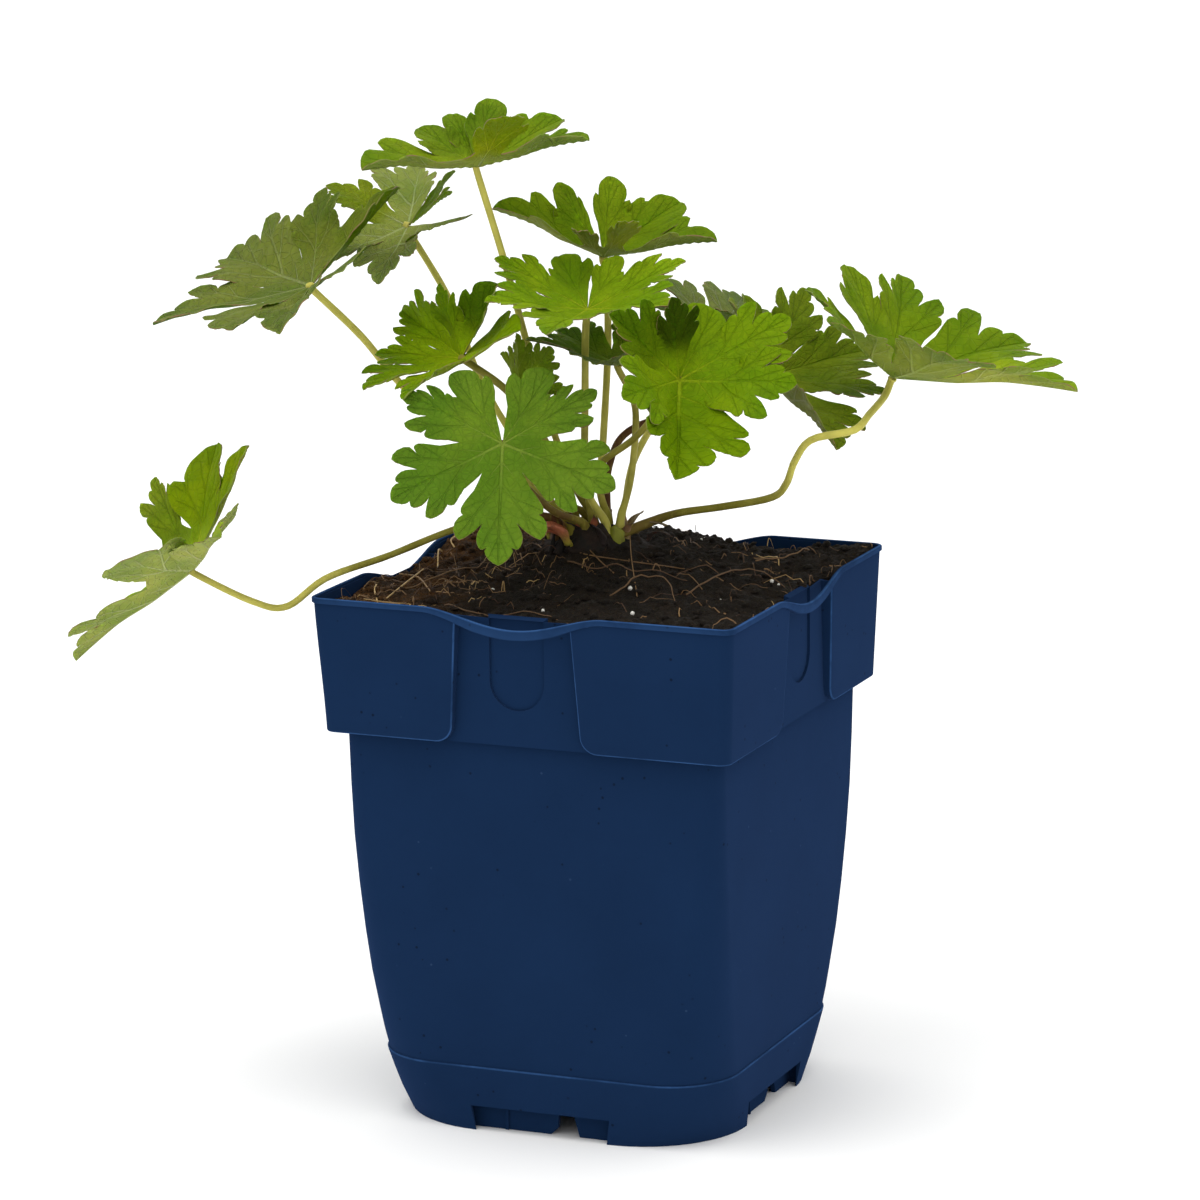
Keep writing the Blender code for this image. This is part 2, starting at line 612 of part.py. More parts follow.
def smooth_route(points, count):
    """Evenly numbered points on a Catmull-Rom curve through the given ones."""
    knots = [2 * points[0] - points[1], *points, 2 * points[-1] - points[-2]]
    route = []
    for i in range(count):
        place = i * (len(points) - 1) / (count - 1)
        k = min(int(place), len(points) - 2)
        t = place - k
        a, b, c, d = knots[k : k + 4]
        bend = (2 * a - 5 * b + 4 * c - d) * t**2 + (3 * b - a - 3 * c + d) * t**3
        route.append(0.5 * (2 * b + (c - a) * t + bend))
    return route


def tube(name, points, radii, mat, stand, sides=1):
    """Closed round tube along the points, in millimetres, as a curve with filled caps."""
    curve = bpy.data.curves.new(name, "CURVE")
    curve.dimensions = "3D"
    curve.bevel_depth = MM
    curve.bevel_resolution = sides
    curve.use_fill_caps = True
    spline = curve.splines.new("POLY")
    spline.points.add(len(points) - 1)
    for target, point, radius in zip(spline.points, points, radii):
        target.co = (*(point * MM), 1.0)
        target.radius = radius
    curve.materials.append(mat)
    obj = bpy.data.objects.new(name, curve)
    obj.parent = stand
    bpy.context.scene.collection.objects.link(obj)
    return obj


def stalk_points(leaf):
    (along, across), passes = STALKS[leaf.name]
    _, _, normal = leaf_axes(leaf)
    top = Vector(leaf.joint) - normal * (BLADE / 2 + GAP + 0.25)
    foot = Vector((*crown_point(along, across), CROWN_TOP + GAP + 0.25))
    points = [top, top - normal * 3.0, *(Vector(p) for p in passes), foot + Vector((0, 0, 5)), foot]
    return smooth_route(points, STALK_STEPS + 2 * max(0, len(passes) - 4))


def make_stalk(leaf, mat, stand):
    points = stalk_points(leaf)
    last = len(points) - 1
    size = STALK_RADIUS * (0.75 + 0.25 * min(1.0, leaf.length / 36.0))
    radii = [size * (1 + 0.45 * smooth_step((i / last - 0.7) / 0.3)) for i in range(len(points))]
    radii[0] = 0.5 * size
    return tube(f"stalk_{leaf.name}", points, radii, mat, stand)


def make_bract(number, row, mat, stand):
    """Small pointed scale, curved like a shallow boat, that stands on the rootstock."""
    (along, across), bearing, lean, length, width = row
    bm = bmesh.new()
    foot = Vector((*crown_point(along, across), CROWN_TOP + GAP))
    out = Vector((math.sin(math.radians(bearing)), -math.cos(math.radians(bearing)), 0))
    side = Vector((out.y, -out.x, 0))
    profile = ((0.0, 0.30), (0.3, 0.5), (0.65, 0.40), (0.9, 0.15))
    rows = []
    for share, half in profile:
        tilt = math.radians(lean * share)
        centre = foot + (out * math.sin(tilt) + Vector((0, 0, 1)) * math.cos(tilt)) * (share * length)
        row_verts = []
        for step in (-1, 0, 1):
            bend = out * (-0.18 * width * abs(step))
            row_verts.append(bm.verts.new(centre + side * (step * half * width) + bend))
        rows.append(row_verts)
    for lower, upper in zip(rows, rows[1:]):
        for i in range(2):
            bm.faces.new((lower[i], lower[i + 1], upper[i + 1], upper[i]))
    bmesh.ops.recalc_face_normals(bm, faces=bm.faces)
    low = min(v.co.z for v in bm.verts)
    bmesh.ops.translate(bm, vec=(0, 0, CROWN_TOP + GAP + 0.2 - low), verts=bm.verts)
    obj = new_object(f"bract_{number}", bm, mat, stand)
    thicken(obj, BRACT_THICKNESS)
    return obj


def make_thread(number, row, compost, mat, stand):
    corners, arch = row
    flat = smooth_route([Vector((x, y, 0)) for x, y in corners], 12)
    points = []
    for i, point in enumerate(flat):
        rise = arch * math.sin(math.pi * i / 11)
        found, place, _, _ = compost.ray_cast(Vector((point.x, point.y, 1000)) * MM, Vector((0, 0, -1)))
        if not found:
            raise ValueError(f"root thread {number} leaves the compost")
        points.append(Vector((point.x, point.y, place.z / MM + THREAD_RADIUS + GAP + rise)))
    return tube(f"root_thread_{number}", points, [THREAD_RADIUS] * len(points), mat, stand, sides=0)


def stand_on_origin(stand):
    """Moves the whole plant so that the middle of its outline lies over the origin."""
    bpy.context.view_layer.update()
    graph = bpy.context.evaluated_depsgraph_get()
    low = [1e9, 1e9]
    high = [-1e9, -1e9]
    for obj in stand.children:
        if obj.hide_render:
            continue
        evaluated = obj.evaluated_get(graph)
        for vert in evaluated.to_mesh().vertices:
            spot = evaluated.matrix_world @ vert.co
            for axis in range(2):
                low[axis] = min(low[axis], spot[axis])
                high[axis] = max(high[axis], spot[axis])
        evaluated.to_mesh_clear()
    stand.location = [-(low[axis] + high[axis]) / 2 for axis in range(2)] + [0]


def main():
    clear_scene()
    stand = bpy.data.objects.new("plant_stand", None)
    bpy.context.scene.collection.objects.link(stand)
    make_pot(stand)
    compost = make_compost(stand)
    make_rootstock(stand)
    blade = material("leaf_green", (0.12, 0.26, 0.03), 0.5)
    stem = material("stalk_green", (0.30, 0.34, 0.07), 0.5)
    scale = material("bract_red", (0.32, 0.11, 0.06), 0.7)
    straw = material("root_straw", (0.36, 0.22, 0.10), 0.8)
    for leaf in LEAVES:
        make_leaf(leaf, blade, stand)
        make_stalk(leaf, stem, stand)
    for number, row in enumerate(BRACTS, 1):
        make_bract(number, row, scale, stand)
    for number, row in enumerate(THREADS, 1):
        make_thread(number, row, compost, straw, stand)
    stand_on_origin(stand)


main()
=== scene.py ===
"""Potted hardy geranium: the looks of the pot, compost, crown, stalks and leaves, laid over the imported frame.

Lengths in the tables are millimetres from the middle of the pot's base, x to the right, y to the back, z up.
"""

import math
import random
from collections import namedtuple

import bmesh
import bpy
from bpy.props import FloatProperty, FloatVectorProperty, IntProperty, PointerProperty
from bpy.types import Operator, Panel, PropertyGroup
from mathutils import Matrix, Vector, noise


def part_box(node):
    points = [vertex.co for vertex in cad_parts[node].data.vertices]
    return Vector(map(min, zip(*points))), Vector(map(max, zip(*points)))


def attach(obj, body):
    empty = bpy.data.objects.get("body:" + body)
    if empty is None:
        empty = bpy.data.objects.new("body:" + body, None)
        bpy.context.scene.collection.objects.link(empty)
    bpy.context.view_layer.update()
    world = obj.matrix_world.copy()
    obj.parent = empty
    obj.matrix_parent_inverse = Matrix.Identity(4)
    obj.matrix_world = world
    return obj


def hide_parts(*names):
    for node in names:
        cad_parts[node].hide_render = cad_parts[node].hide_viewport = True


bl_info = {
    "name": "Potted hardy geranium",
    "version": (1, 0, 0),
    "blender": (4, 5, 0),
    "location": "3D View > Sidebar > Plant",
    "description": "Builds the looks of a hardy geranium in a square nursery pot",
    "category": "Object",
}

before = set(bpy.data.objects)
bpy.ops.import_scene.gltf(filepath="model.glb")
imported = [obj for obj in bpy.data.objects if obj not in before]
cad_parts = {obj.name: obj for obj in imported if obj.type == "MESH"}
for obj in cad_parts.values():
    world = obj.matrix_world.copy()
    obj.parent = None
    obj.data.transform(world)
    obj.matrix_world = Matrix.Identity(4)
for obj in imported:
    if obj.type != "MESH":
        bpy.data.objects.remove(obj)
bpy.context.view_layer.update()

MM = 0.001
UP = Vector((0, 0, 1))
# Millimetres within which two places count as the same, and as near each other.
SAME = 0.01
NEAR = 0.1


def pot_centre():
    """Middle of the pot's base in the row frame, in metres."""
    low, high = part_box("pot")
    return Vector(((low[0] + high[0]) / 2, (low[1] + high[1]) / 2, 0))


POT_CENTRE = pot_centre()

# ---------------------------------------------------------------- sizes

# Pot
SIDES = 4
RIM_HALF = 65.7
RIM_HEIGHT = 160.9
RIM_THICKNESS = 1.3
RIM_BAND = 1.7
STRAP_BAND = 3.0
STRAP_DIP = 5.1
STRAP_HALF = 27.5
PANEL_TOP_HALF = 65.2
PANEL_FOOT_HALF = 63.6
PANEL_FOOT = 120.4
PANEL_CORNER = 3.6
PANEL_ROUNDING = 5.0
PANEL_DEPTH = 4.4
BEVEL = 0.55
RECESS_HALF = 61.5
RECESS_TOP = 158.2
RECESS_TOP_WIDTH = 17.7
RECESS_FOOT_WIDTH = 20.4
GROOVE_HALF = 8.5
GROOVE_MIDDLE = -0.2
GROOVE_FOOT = 131.1
GROOVE_DEPTH = 0.8
POCKET_BEVEL = 0.3
# Strength of the painted highlight along the panels' and the skirt's moulded edges, and how far down it shows
# on the skirt.
PANEL_EDGE_HIGHLIGHT = 0.45
SKIRT_EDGE_HIGHLIGHT = 0.38
SKIRT_EDGE = 0.3
WALL = 1.4
COLLAR_WALL = 1.2
SHOULDER_HALF = 59.3
BAND_HEIGHT = 20.4
FLOOR_UNDERSIDE = 7.6
NOTCH_TOP_HALF = 22.2
NOTCH_FOOT_HALF = 23.6
NOTCH_TOP = 7.8
SET_BACK_HALF = 49.2
# How far the collar's left front corner is bent outwards, and over what distance.
CORNER_SPLAY = 1.2
SPLAY_REACH = 70.0
# Where the middle of the recess and of the notch lies on each side: front, right, back, left.
RECESS_MIDDLES = (-2.2, 2.0, -2.2, 2.0)
NOTCH_MIDDLES = (-1.2, 1.2, -1.2, 1.2)
# Outer side of the pot from its feet up: height, half width, corner radius.
BODY = (
    (0.0, 52.9, 32.0),
    (NOTCH_TOP, 54.1, 27.0),
    (14.0, 54.95, 24.0),
    (BAND_HEIGHT - 0.6, 55.68, 21.4),
    (BAND_HEIGHT - 0.25, 55.7, 21.3),
    (BAND_HEIGHT, 55.6, 21.2),
    (BAND_HEIGHT + 0.05, 55.2, 20.9),
    (26.0, 55.75, 19.2),
    (32.0, 56.2, 17.5),
    (45.0, 57.2, 14.4),
    (58.0, 57.9, 12.0),
    (73.0, 58.5, 9.6),
    (88.0, 58.9, 7.5),
    (104.0, 59.15, 6.4),
    (122.0, SHOULDER_HALF, 5.5),
)
# How many rows of BODY belong to the skirt and the ledge over it.
SKIRT_ROWS = 7

# Compost and crown
CROWN = (-4.0, 5.0)
CROWN_TOP = 170.5
COMPOST_EDGE = 157.0
COMPOST_MOUND = 11.5
COMPOST_FOOT = 121.9
BASE_INSET = 1.8

# Leaves: name, joint of blade and stalk, bearing and height that the upper side faces, turn, length, then how
# far each lobe rises and swings, and its share of the usual length. In five leaves the lobes rise and swing
# further than those of their solids.
Leaf = namedtuple("Leaf", "name joint bearing height turn length lift swing stretch")
LOBE_ANGLES = (-152, -116, -62, 0, 62, 116, 152)
LOBE_LENGTHS = (0.72, 0.9, 1.0, 1.0, 1.0, 0.9, 0.72)
LOBES = len(LOBE_ANGLES)
MIDDLE_LOBE = LOBES // 2
LEAVES = (
    Leaf("low_left", (-107, -59, 165), -71, 61, -6, 48,
         (35, 36, 30, -9, 23, 12, 22), (-1, 0, -15, -1, 14, 8, -6),
         (1.17, 1.03, 1.05, 0.98, 0.87, 1.02, 0.94)),
    Leaf("left", (-83, -25, 246), -85, 57, -1, 50,
         (16, 37, 24, 18, -1, -11, -5), (-1, 13, 14, 3, 13, -21, -21),
         (1.1, 0.9, 1.15, 1.03, 0.85, 1.1, 0.91)),
    Leaf("back_left", (-69, 15, 259), -132, 73, 39, 36,
         (42, 25, 33, 34, -18, -30, -9), (0, 12, -12, 2, 6, -17, -12),
         (0.85, 0.75, 1.1, 0.85, 0.9, 1.25, 1.0)),
    Leaf("top", (-40, 1, 280), 9, 89, 19, 36,
         (32, 27, 4, 30, 15, 21, 41), (-13, -9, -3, 13, 1, 0, 11),
         (0.95, 0.7, 1.08, 1.08, 1.03, 0.99, 1.03)),
    Leaf("upper_right", (-10, 26, 251), 41, 69, 5, 37,
         (36, 19, 38, 45, 19, 15, 32), (-4, 1, 17, -13, -3, -3, 4),
         (1.0, 1.1, 0.9, 1.0, 0.95, 1.0, 1.05)),
    Leaf("middle", (-3, -4, 240), -4, 67, 13, 36,
         (13, 20, 24, 20, 15, 12, 20), (1, 1, 1, -6, 0, -1, 3),
         (1.0, 1.05, 0.9, 1.0, 1.0, 1.0, 0.8)),
    Leaf("small_left", (-37.4, -18.3, 226), -52, 39, -43, 34,
         (15, 48, 26, 34, 38, 24, -5), (0, 6, 13, -11, -1, -23, 17),
         (1.03, 0.75, 0.98, 0.85, 0.99, 1.15, 1.15)),
    Leaf("young", (-21, -13, 217), 153, 27, 169, 17,
         (25, 25, 27, 30, 28, 26, 25), (0, 0, 2, 1, -3, 0, 0),
         (1.0, 1.0, 1.0, 0.95, 1.05, 1.0, 1.0)),
    Leaf("front", (-14, -43, 206), 19, 34, 2, 37,
         (3, 6, 4, 2, 5, 5, 2), (6, -3, 1, -2, 1, 2, -5),
         (1.0, 1.0, 1.0, 1.05, 1.0, 0.95, 1.0)),
    Leaf("right_front", (31, -17, 223), 57, 36, -16, 37,
         (39, 20, 22, 6, 38, 27, 10), (-2, 3, 4, -12, 10, 3, 0),
         (0.95, 0.95, 0.95, 1.0, 0.95, 1.15, 1.0)),
    Leaf("right_back", (37, 40, 215), 112, 41, -6, 41,
         (15, 13, 6, 41, 37, 38, 20), (0, 0, 11, -5, 1, -4, -2),
         (1.0, 1.0, 1.1, 0.9, 1.05, 1.05, 0.95)),
    Leaf("far_right", (77, 40, 217), 106, 62, -12, 54,
         (19, 15, 24, 26, 24, 26, 28), (0, 3, -2, -3, 0, 1, 0),
         (1.0, 0.95, 1.0, 1.05, 1.0, 1.0, 1.05)),
    Leaf("back", (12.4, 65.8, 223), 159, 65, 103, 33,
         (6, 10, 28, 26, -3, 3, 5), (0, 0, -5, 2, 3, 0, 0),
         (1.0, 1.0, 1.15, 0.95, 0.95, 1.0, 1.0)),
    Leaf("inner", (2, 7, 222), -52, 79, -5, 27,
         (14, 20, 21, 26, 15, 13, 12), (0, -10, 3, -15, 5, 3, 0),
         (1.0, 0.95, 1.0, 1.05, 1.0, 1.0, 1.0)),
)
# Multipliers of the leaf greens for single leaves: red, green, blue.
LEAF_TINTS = {
    "front": (0.74, 0.86, 1.9),
    "right_front": (0.90, 1.0, 0.4),
    "middle": (1.25, 1.30, 0.8),
    "upper_right": (0.98, 0.97, 0.7),
    "young": (0.80, 0.92, 0.25),
    "small_left": (1.15, 1.20, 0.5),
    "low_left": (1.5, 1.4, 1.7),
    "left": (0.57, 0.60, 0.50),
    "back_left": (0.90, 0.92, 1.0),
    "back": (0.56, 0.58, 0.75),
    "right_back": (0.80, 0.76, 0.9),
    "far_right": (0.91, 0.95, 0.65),
    "inner": (0.60, 0.65, 0.7),
}

# Leaves that turn their pale underside up.
TURNED_LEAVES = ("left", "back_left", "back")
# Multipliers of the greens for single lobes: red, green, blue. Most of them are painted shade on lobes that
# face away from the light; the others shift the hue or the brightness.
LOBE_SHADE_TINTS = {
    "right_front": {0: (0.20, 0.22, 0.25), 1: (0.55, 0.58, 0.5), 3: (0.85, 0.88, 0.5)},
    "left": {0: (0.90, 0.95, 0.45), 1: (0.85, 0.88, 0.60)},
    "back_left": {3: (0.75, 0.80, 0.12)},
    "upper_right": {2: (0.70, 0.68, 0.25), 3: (0.90, 0.88, 0.25)},
    "small_left": {0: (0.42, 0.45, 0.5), 1: (0.65, 0.68, 0.7), 6: (0.95, 1.0, 0.5)},
    "top": {1: (0.85, 0.88, 1.0), 3: (1.0, 1.0, 0.08), 6: (0.80, 0.85, 1.1)},
    "middle": {0: (0.85, 0.88, 0.9), 3: (0.80, 0.84, 0.8)},
    "right_back": {1: (0.70, 0.70, 0.8)},
    "low_left": {0: (0.75, 0.75, 0.12), 1: (0.75, 0.75, 0.12), 2: (0.60, 0.60, 0.5)},
    "far_right": {3: (1.45, 1.30, 1.5)},
}
# Half lobes that are wider or more folded than usual: towards the lobe before and towards the lobe after.
LOBE_SPREADS = {
    "low_left": {0: (1.3, 1.2), 1: (1.1, 1.4), 2: (0.40, 0.45), 3: (0.45, 0.95), 4: (0.7, 1.25)},
    "right_front": {0: (1.3, 1.35), 1: (1.5, 1.2), 2: (1.1, 1.2), 3: (1.6, 1.5), 4: (1.3, 1.4),
                    5: (1.5, 1.3), 6: (1.2, 1.4)},
    "top": {0: (1.1, 1.4), 1: (1.4, 1.3), 2: (0.9, 0.45), 3: (0.5, 0.8), 4: (0.6, 0.8), 6: (1.4, 1.2)},
    "left": {4: (1.1, 0.9), 5: (1.2, 1.2), 6: (1.2, 1.2)},
    "back_left": {5: (1.3, 1.3), 6: (1.6, 1.6)},
    "upper_right": {0: (0.7, 1.2), 2: (0.45, 0.50), 3: (0.50, 0.45), 6: (1.2, 0.75)},
    "small_left": {0: (1.4, 1.5), 6: (1.3, 1.3)},
}
# Cuts between a lobe and the next that are shallower or deeper than usual.
CLEFT_REACHES = {
    "right_front": {4: 1.5, 2: 1.7},
    "small_left": {5: 0.5},
    "low_left": {3: 1.35},
}

# For each stalk: where it stands on the rootstock, measured from the rootstock's middle along its length and
# across it, then the points that it passes on its way down from the leaf.
STALKS = {
    "low_left": ((-12.5, -3), [(-92, -51, 155), (-83, -46, 153), (-73, -39, 161), (-57, -29, 167),
                               (-40, -16, 174), (-24, -7, 177)]),
    "left": ((-8, -6), [(-73, -11, 229), (-62, -3, 212), (-41, -4, 199), (-20, -8, 187)]),
    "back_left": ((-4, 6), [(-54, 12, 237), (-43, 8, 215), (-29, 6, 195), (-17, 8, 180)]),
    "top": ((-1.5, 2), [(-32, 2, 252), (-25, 3, 226), (-19, 4, 205), (-12, 6, 185)]),
    "upper_right": ((3, 0), [(-9, 26, 245), (-6, 19, 224), (-4, 10, 199), (-4, 7, 184)]),
    "middle": ((-1.5, -3), [(-4, -3, 234), (-4, -4, 213), (-5, -2, 191)]),
    "small_left": ((-6.5, -1), [(-35, -22, 226), (-22, -20, 217), (-14, -12, 202), (-10, -3, 185)]),
    "young": ((-8.5, 4), [(-22, -12, 211), (-22, -5, 202), (-17, 1, 187)]),
    "front": ((-4, -8), [(-16, -37, 203), (-16, -26, 192), (-10, -15, 181)]),
    "right_front": ((2.5, -6.5), [(25, -14, 215), (15, -12, 204), (3, -9, 195), (-2, -6, 185)]),
    "right_back": ((2.5, 6), [(32, 34, 210), (20, 27, 207), (3, 14, 201), (-3, 12, 190)]),
    "far_right": ((5, -5), [(76, 35, 212), (76, 22, 209), (75, 11, 206), (63, 8, 203), (57, 10, 196),
                               (53, 13, 188), (47, 16, 183), (31, 17, 179), (19, 14, 177), (11, 13, 174.2)]),
    "back": ((7, 5), [(8.4, 62.9, 214.2), (1.4, 43.8, 201.2), (-0.4, 25.8, 189.8), (0.8, 15.5, 179.5)]),
    "inner": ((7, -2), [(5.8, 10, 211), (6.3, 10.2, 201.5), (4.8, 9.6, 186.6)]),
}
# How high above its foot a stalk stands upright; the lowest stalk comes in aslant.
STALK_RISE = 6.0
SLANTING_RISES = {"far_right": 1.2}

# How red-brown each stalk is, at its leaf and at the crown.
STALK_TONES = {
    "low_left": (0.15, 0.95),
    "left": (0.05, 0.50),
    "back_left": (0.05, 0.70),
    "top": (0.10, 0.55),
    "upper_right": (0.0, 0.35),
    "middle": (0.05, 0.40),
    "small_left": (0.30, 0.60),
    "young": (0.20, 0.60),
    "front": (0.80, 0.60),
    "right_front": (0.40, 0.15),
    "right_back": (0.90, 0.90),
    "far_right": (0.0, 0.75),
    "back": (0.10, 0.0),
    "inner": (0.30, 0.0),
}

# Papery scales round the stalks: place on the rootstock, bearing and amount of the lean, length, width, curl,
# and how dry and dark they are.
SCALES = (
    ((-15, 1), -70, 40, 12, 5.5, 35, 0.15),
    ((-9.5, -8.5), -62, 46, 13, 9.0, 26, 0.05),
    ((1.5, -9.5), -30, 18, 8, 3.6, 10, 0.95),
    ((5.2, -7.4), 12, 8, 6, 7.4, -10, -1.0),
    ((11.5, 3.5), 95, 55, 11, 4.4, 12, 0.70),
)
# Husks beside the stalks: place on the rootstock, bearing and lean, length, width, curl, dryness.
HUSKS = (
    ((-5.6, -6.0), -35, 8, 11, 5.6, 5, 0.05),
    ((-3.0, -7.0), -45, 34, 10, 3.4, 5, 0.95),
    ((-1.0, -5.0), 10, 8, 10, 3.6, 5, 0.15),
    ((-8.5, -8.0), -70, 64, 12, 6.0, 12, 0.05),
    ((-12.0, -1.0), -40, 20, 12, 4.6, 10, 0.10),
    ((6.5, 1.0), 0, 4, 10, 5.0, 0, 0.38),
    ((8.5, -3.0), 40, 20, 9, 3.0, 15, 0.35),
    ((3.5, 3.0), 160, 10, 9, 4.0, 5, 0.60),
    ((-4.0, 8.5), 190, 20, 9, 3.6, 10, 0.75),
    ((9.0, 7.0), 140, 25, 9, 3.6, 10, 0.65),
    ((-11.0, 5.0), -120, 25, 10, 4.0, 10, 0.40),
    ((-1.0, 4.0), 200, 8, 8, 3.2, 0, 0.85),
    ((15.5, 0.5), 80, 65, 8, 3.0, 10, 0.90),
)
STUMPS = 16

# Root threads on the compost: corners of their routes, x and y, and how high the middle arches.
THREADS = (
    (((-6, -14), (4, -17), (16, -14), (30, -8)), 1.5),
    (((-30, -50), (-16, -54), (0, -55), (13, -57)), 0.6),
    (((34, -20), (40, -10), (46, 2), (56, 4)), 6.0),
    (((14, -30), (20, -22), (28, -20), (34, -28)), 4.0),
    (((-52, -34), (-44, -24), (-36, -16), (-34, -6)), 1.5),
    (((40, 22), (46, 30), (50, 40), (46, 50)), 2.0),
)


# ---------------------------------------------------------------- settings


def colour_property(name, description, default):
    return FloatVectorProperty(
        name=name, description=description, subtype="COLOR", size=3, min=0, max=1, default=default
    )


class PotSettings(PropertyGroup):
    plastic: colour_property("Plastic", "Colour of the moulded plastic", (0.0068, 0.0207, 0.0590))
    # Painted highlight: paler blue painted along the pot's moulded edges.
    wear_and_highlight: colour_property("Worn edges", "Paler blue along the moulded edges", (0.055, 0.15, 0.38))
    roughness: FloatProperty(
        name="Roughness", description="Dullness of the plastic", default=0.42, min=0, max=1
    )


class CompostSettings(PropertyGroup):
    peat: colour_property("Peat", "Colour of the moist peat", (0.016, 0.011, 0.007))
    fibre: colour_property("Fibre", "Colour of straw and root fibres", (0.30, 0.17, 0.07))
    crumbs: IntProperty(name="Crumbs", description="Loose lumps of peat", default=900, min=0)
    fibres: IntProperty(name="Fibres", description="Short bits of straw and root", default=330, min=0)
    perlite: IntProperty(name="Perlite", description="White grains", default=16, min=0)


class FoliageSettings(PropertyGroup):
    upper: colour_property("Upper side", "Green of the side that faces the light", (0.145, 0.215, 0.0065))
    under: colour_property("Underside", "Paler green of the underside", (0.195, 0.235, 0.040))
    rib: colour_property("Ribs", "Yellow green of the ribs near the stalk", (0.36, 0.38, 0.03))
    stalk: colour_property("Stalk", "Yellow green of the stalks", (0.52, 0.475, 0.10))
    thickness: FloatProperty(
        name="Blade thickness", description="Thickness of a leaf's blade", default=0.00036, unit="LENGTH"
    )
    spacing: FloatProperty(
        name="Blade facets", description="Facet size of a blade, as a share of its length", default=0.034
    )


class StageSettings(PropertyGroup):
    floor: colour_property("Floor", "Colour of the pale floor", (0.95, 0.95, 0.945))
    world: FloatProperty(
        name="Surroundings", description="Strength of the even light from all round", default=0.96
    )
    lean: FloatVectorProperty(
        name="Lean",
        description="How much stronger it is towards the right, back and top",
        default=(0.0, 0.0, 0.46),
    )
    key: FloatProperty(name="Key light", description="Power of the light overhead", default=7.5, unit="POWER")
    lens: FloatProperty(name="Lens", description="Focal length of the camera in millimetres", default=169.4)


# ---------------------------------------------------------------- shared helpers


def mix(a, b, share):
    return a + (b - a) * share


def smooth_step(share):
    share = min(1.0, max(0.0, share))
    return share * share * (3 - 2 * share)


def smooth_route(points, count):
    """Evenly numbered points on a Catmull-Rom curve through the given ones."""
    knots = [2 * points[0] - points[1], *points, 2 * points[-1] - points[-2]]
    route = []
    for i in range(count):
        place = i * (len(points) - 1) / (count - 1)
        k = min(int(place), len(points) - 2)
        t = place - k
        a, b, c, d = knots[k : k + 4]
        bend = (2 * a - 5 * b + 4 * c - d) * t**2 + (3 * b - a - 3 * c + d) * t**3
        route.append(0.5 * (2 * b + (c - a) * t + bend))
    return route


def finish_piece(name, bm, materials, nodes=(), smooth=40):
    """Makes an object of a bmesh in millimetres, gives it its materials and its body, and hides the frame's
    nodes that it replaces.
    """
    bmesh.ops.scale(bm, vec=(MM, MM, MM), verts=bm.verts)
    bmesh.ops.translate(bm, vec=POT_CENTRE, verts=bm.verts)
    mesh = bpy.data.meshes.new(name)
    bm.to_mesh(mesh)
    bm.free()
    if smooth:
        mesh.shade_smooth()
        mesh.set_sharp_from_angle(angle=math.radians(smooth))
    for mat in materials:
        mesh.materials.append(mat)
    obj = bpy.data.objects.new(name, mesh)
    bpy.context.scene.collection.objects.link(obj)
    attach(obj, "root")
    if nodes:
        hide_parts(*nodes)
    return obj


def apply_modifiers(obj):
    """Replaces the object's mesh with what its modifiers make of it."""
    bpy.context.view_layer.update()
    graph = bpy.context.evaluated_depsgraph_get()
    shown = obj.evaluated_get(graph)
    made = bpy.data.meshes.new_from_object(shown, preserve_all_data_layers=True, depsgraph=graph)
    old = obj.data
    obj.modifiers.clear()
    obj.data = made
    bpy.data.meshes.remove(old)


def thicken(obj, thickness, offset=-1.0, under=0, rim=0, even=True):
    shell = obj.modifiers.new("thickness", "SOLIDIFY")
    shell.thickness = thickness
    shell.offset = offset
    shell.use_even_offset = even
    shell.thickness_clamp = 1.0
    shell.material_offset = under
    shell.material_offset_rim = rim
    return shell


def cut_across(bm, place, direction):
    """Cuts everything in a bmesh along a plane."""
    geom = [*bm.verts, *bm.edges, *bm.faces]
    bmesh.ops.bisect_plane(bm, geom=geom, dist=1e-5, plane_co=place, plane_no=direction)


def extrude_edges(bm, edges):
    """Extrudes open edges and returns the new vertices."""
    made = bmesh.ops.extrude_edge_only(bm, edges=edges)["geom"]
    return [item for item in made if isinstance(item, bmesh.types.BMVert)]


def round_edges(bm, edges, offset, segments):
    bmesh.ops.bevel(
        bm,
        geom=edges,
        offset=offset,
        segments=segments,
        profile=0.5,
        material=-1,
        affect="EDGES",
        clamp_overlap=True,
    )


def append_copy(bm, mesh):
    """Adds a mesh to a bmesh and returns its new vertices."""
    before = len(bm.verts)
    bm.from_mesh(mesh)
    bm.verts.ensure_lookup_table()
    return bm.verts[before:]


def tube_template(sides, rings):
    """Straight closed tube of radius 1 from z = 0 to z = 1, cut into rings, as a mesh."""
    bm = bmesh.new()
    bmesh.ops.create_cone(bm, cap_ends=True, segments=sides, radius1=1, radius2=1, depth=1)
    bmesh.ops.translate(bm, vec=(0, 0, 0.5), verts=bm.verts)
    long_edges = [edge for edge in bm.edges if abs(edge.verts[0].co.z - edge.verts[1].co.z) > 0.5]
    bmesh.ops.subdivide_edges(bm, edges=long_edges, cuts=rings - 2, use_grid_fill=True)
    mesh = bpy.data.meshes.new("tube_form")
    bm.to_mesh(mesh)
    bm.free()
    return mesh


def route_frames(route):
    """Direction and two cross directions at each point of a route, without twist."""
    frames = []
    side = None
    for i in range(len(route)):
        ahead = (route[min(i + 1, len(route) - 1)] - route[max(i - 1, 0)]).normalized()
        if side is None:
            side = ahead.orthogonal().normalized()
        side = (side - ahead * side.dot(ahead)).normalized()
        frames.append((ahead, side, ahead.cross(side)))
    return frames


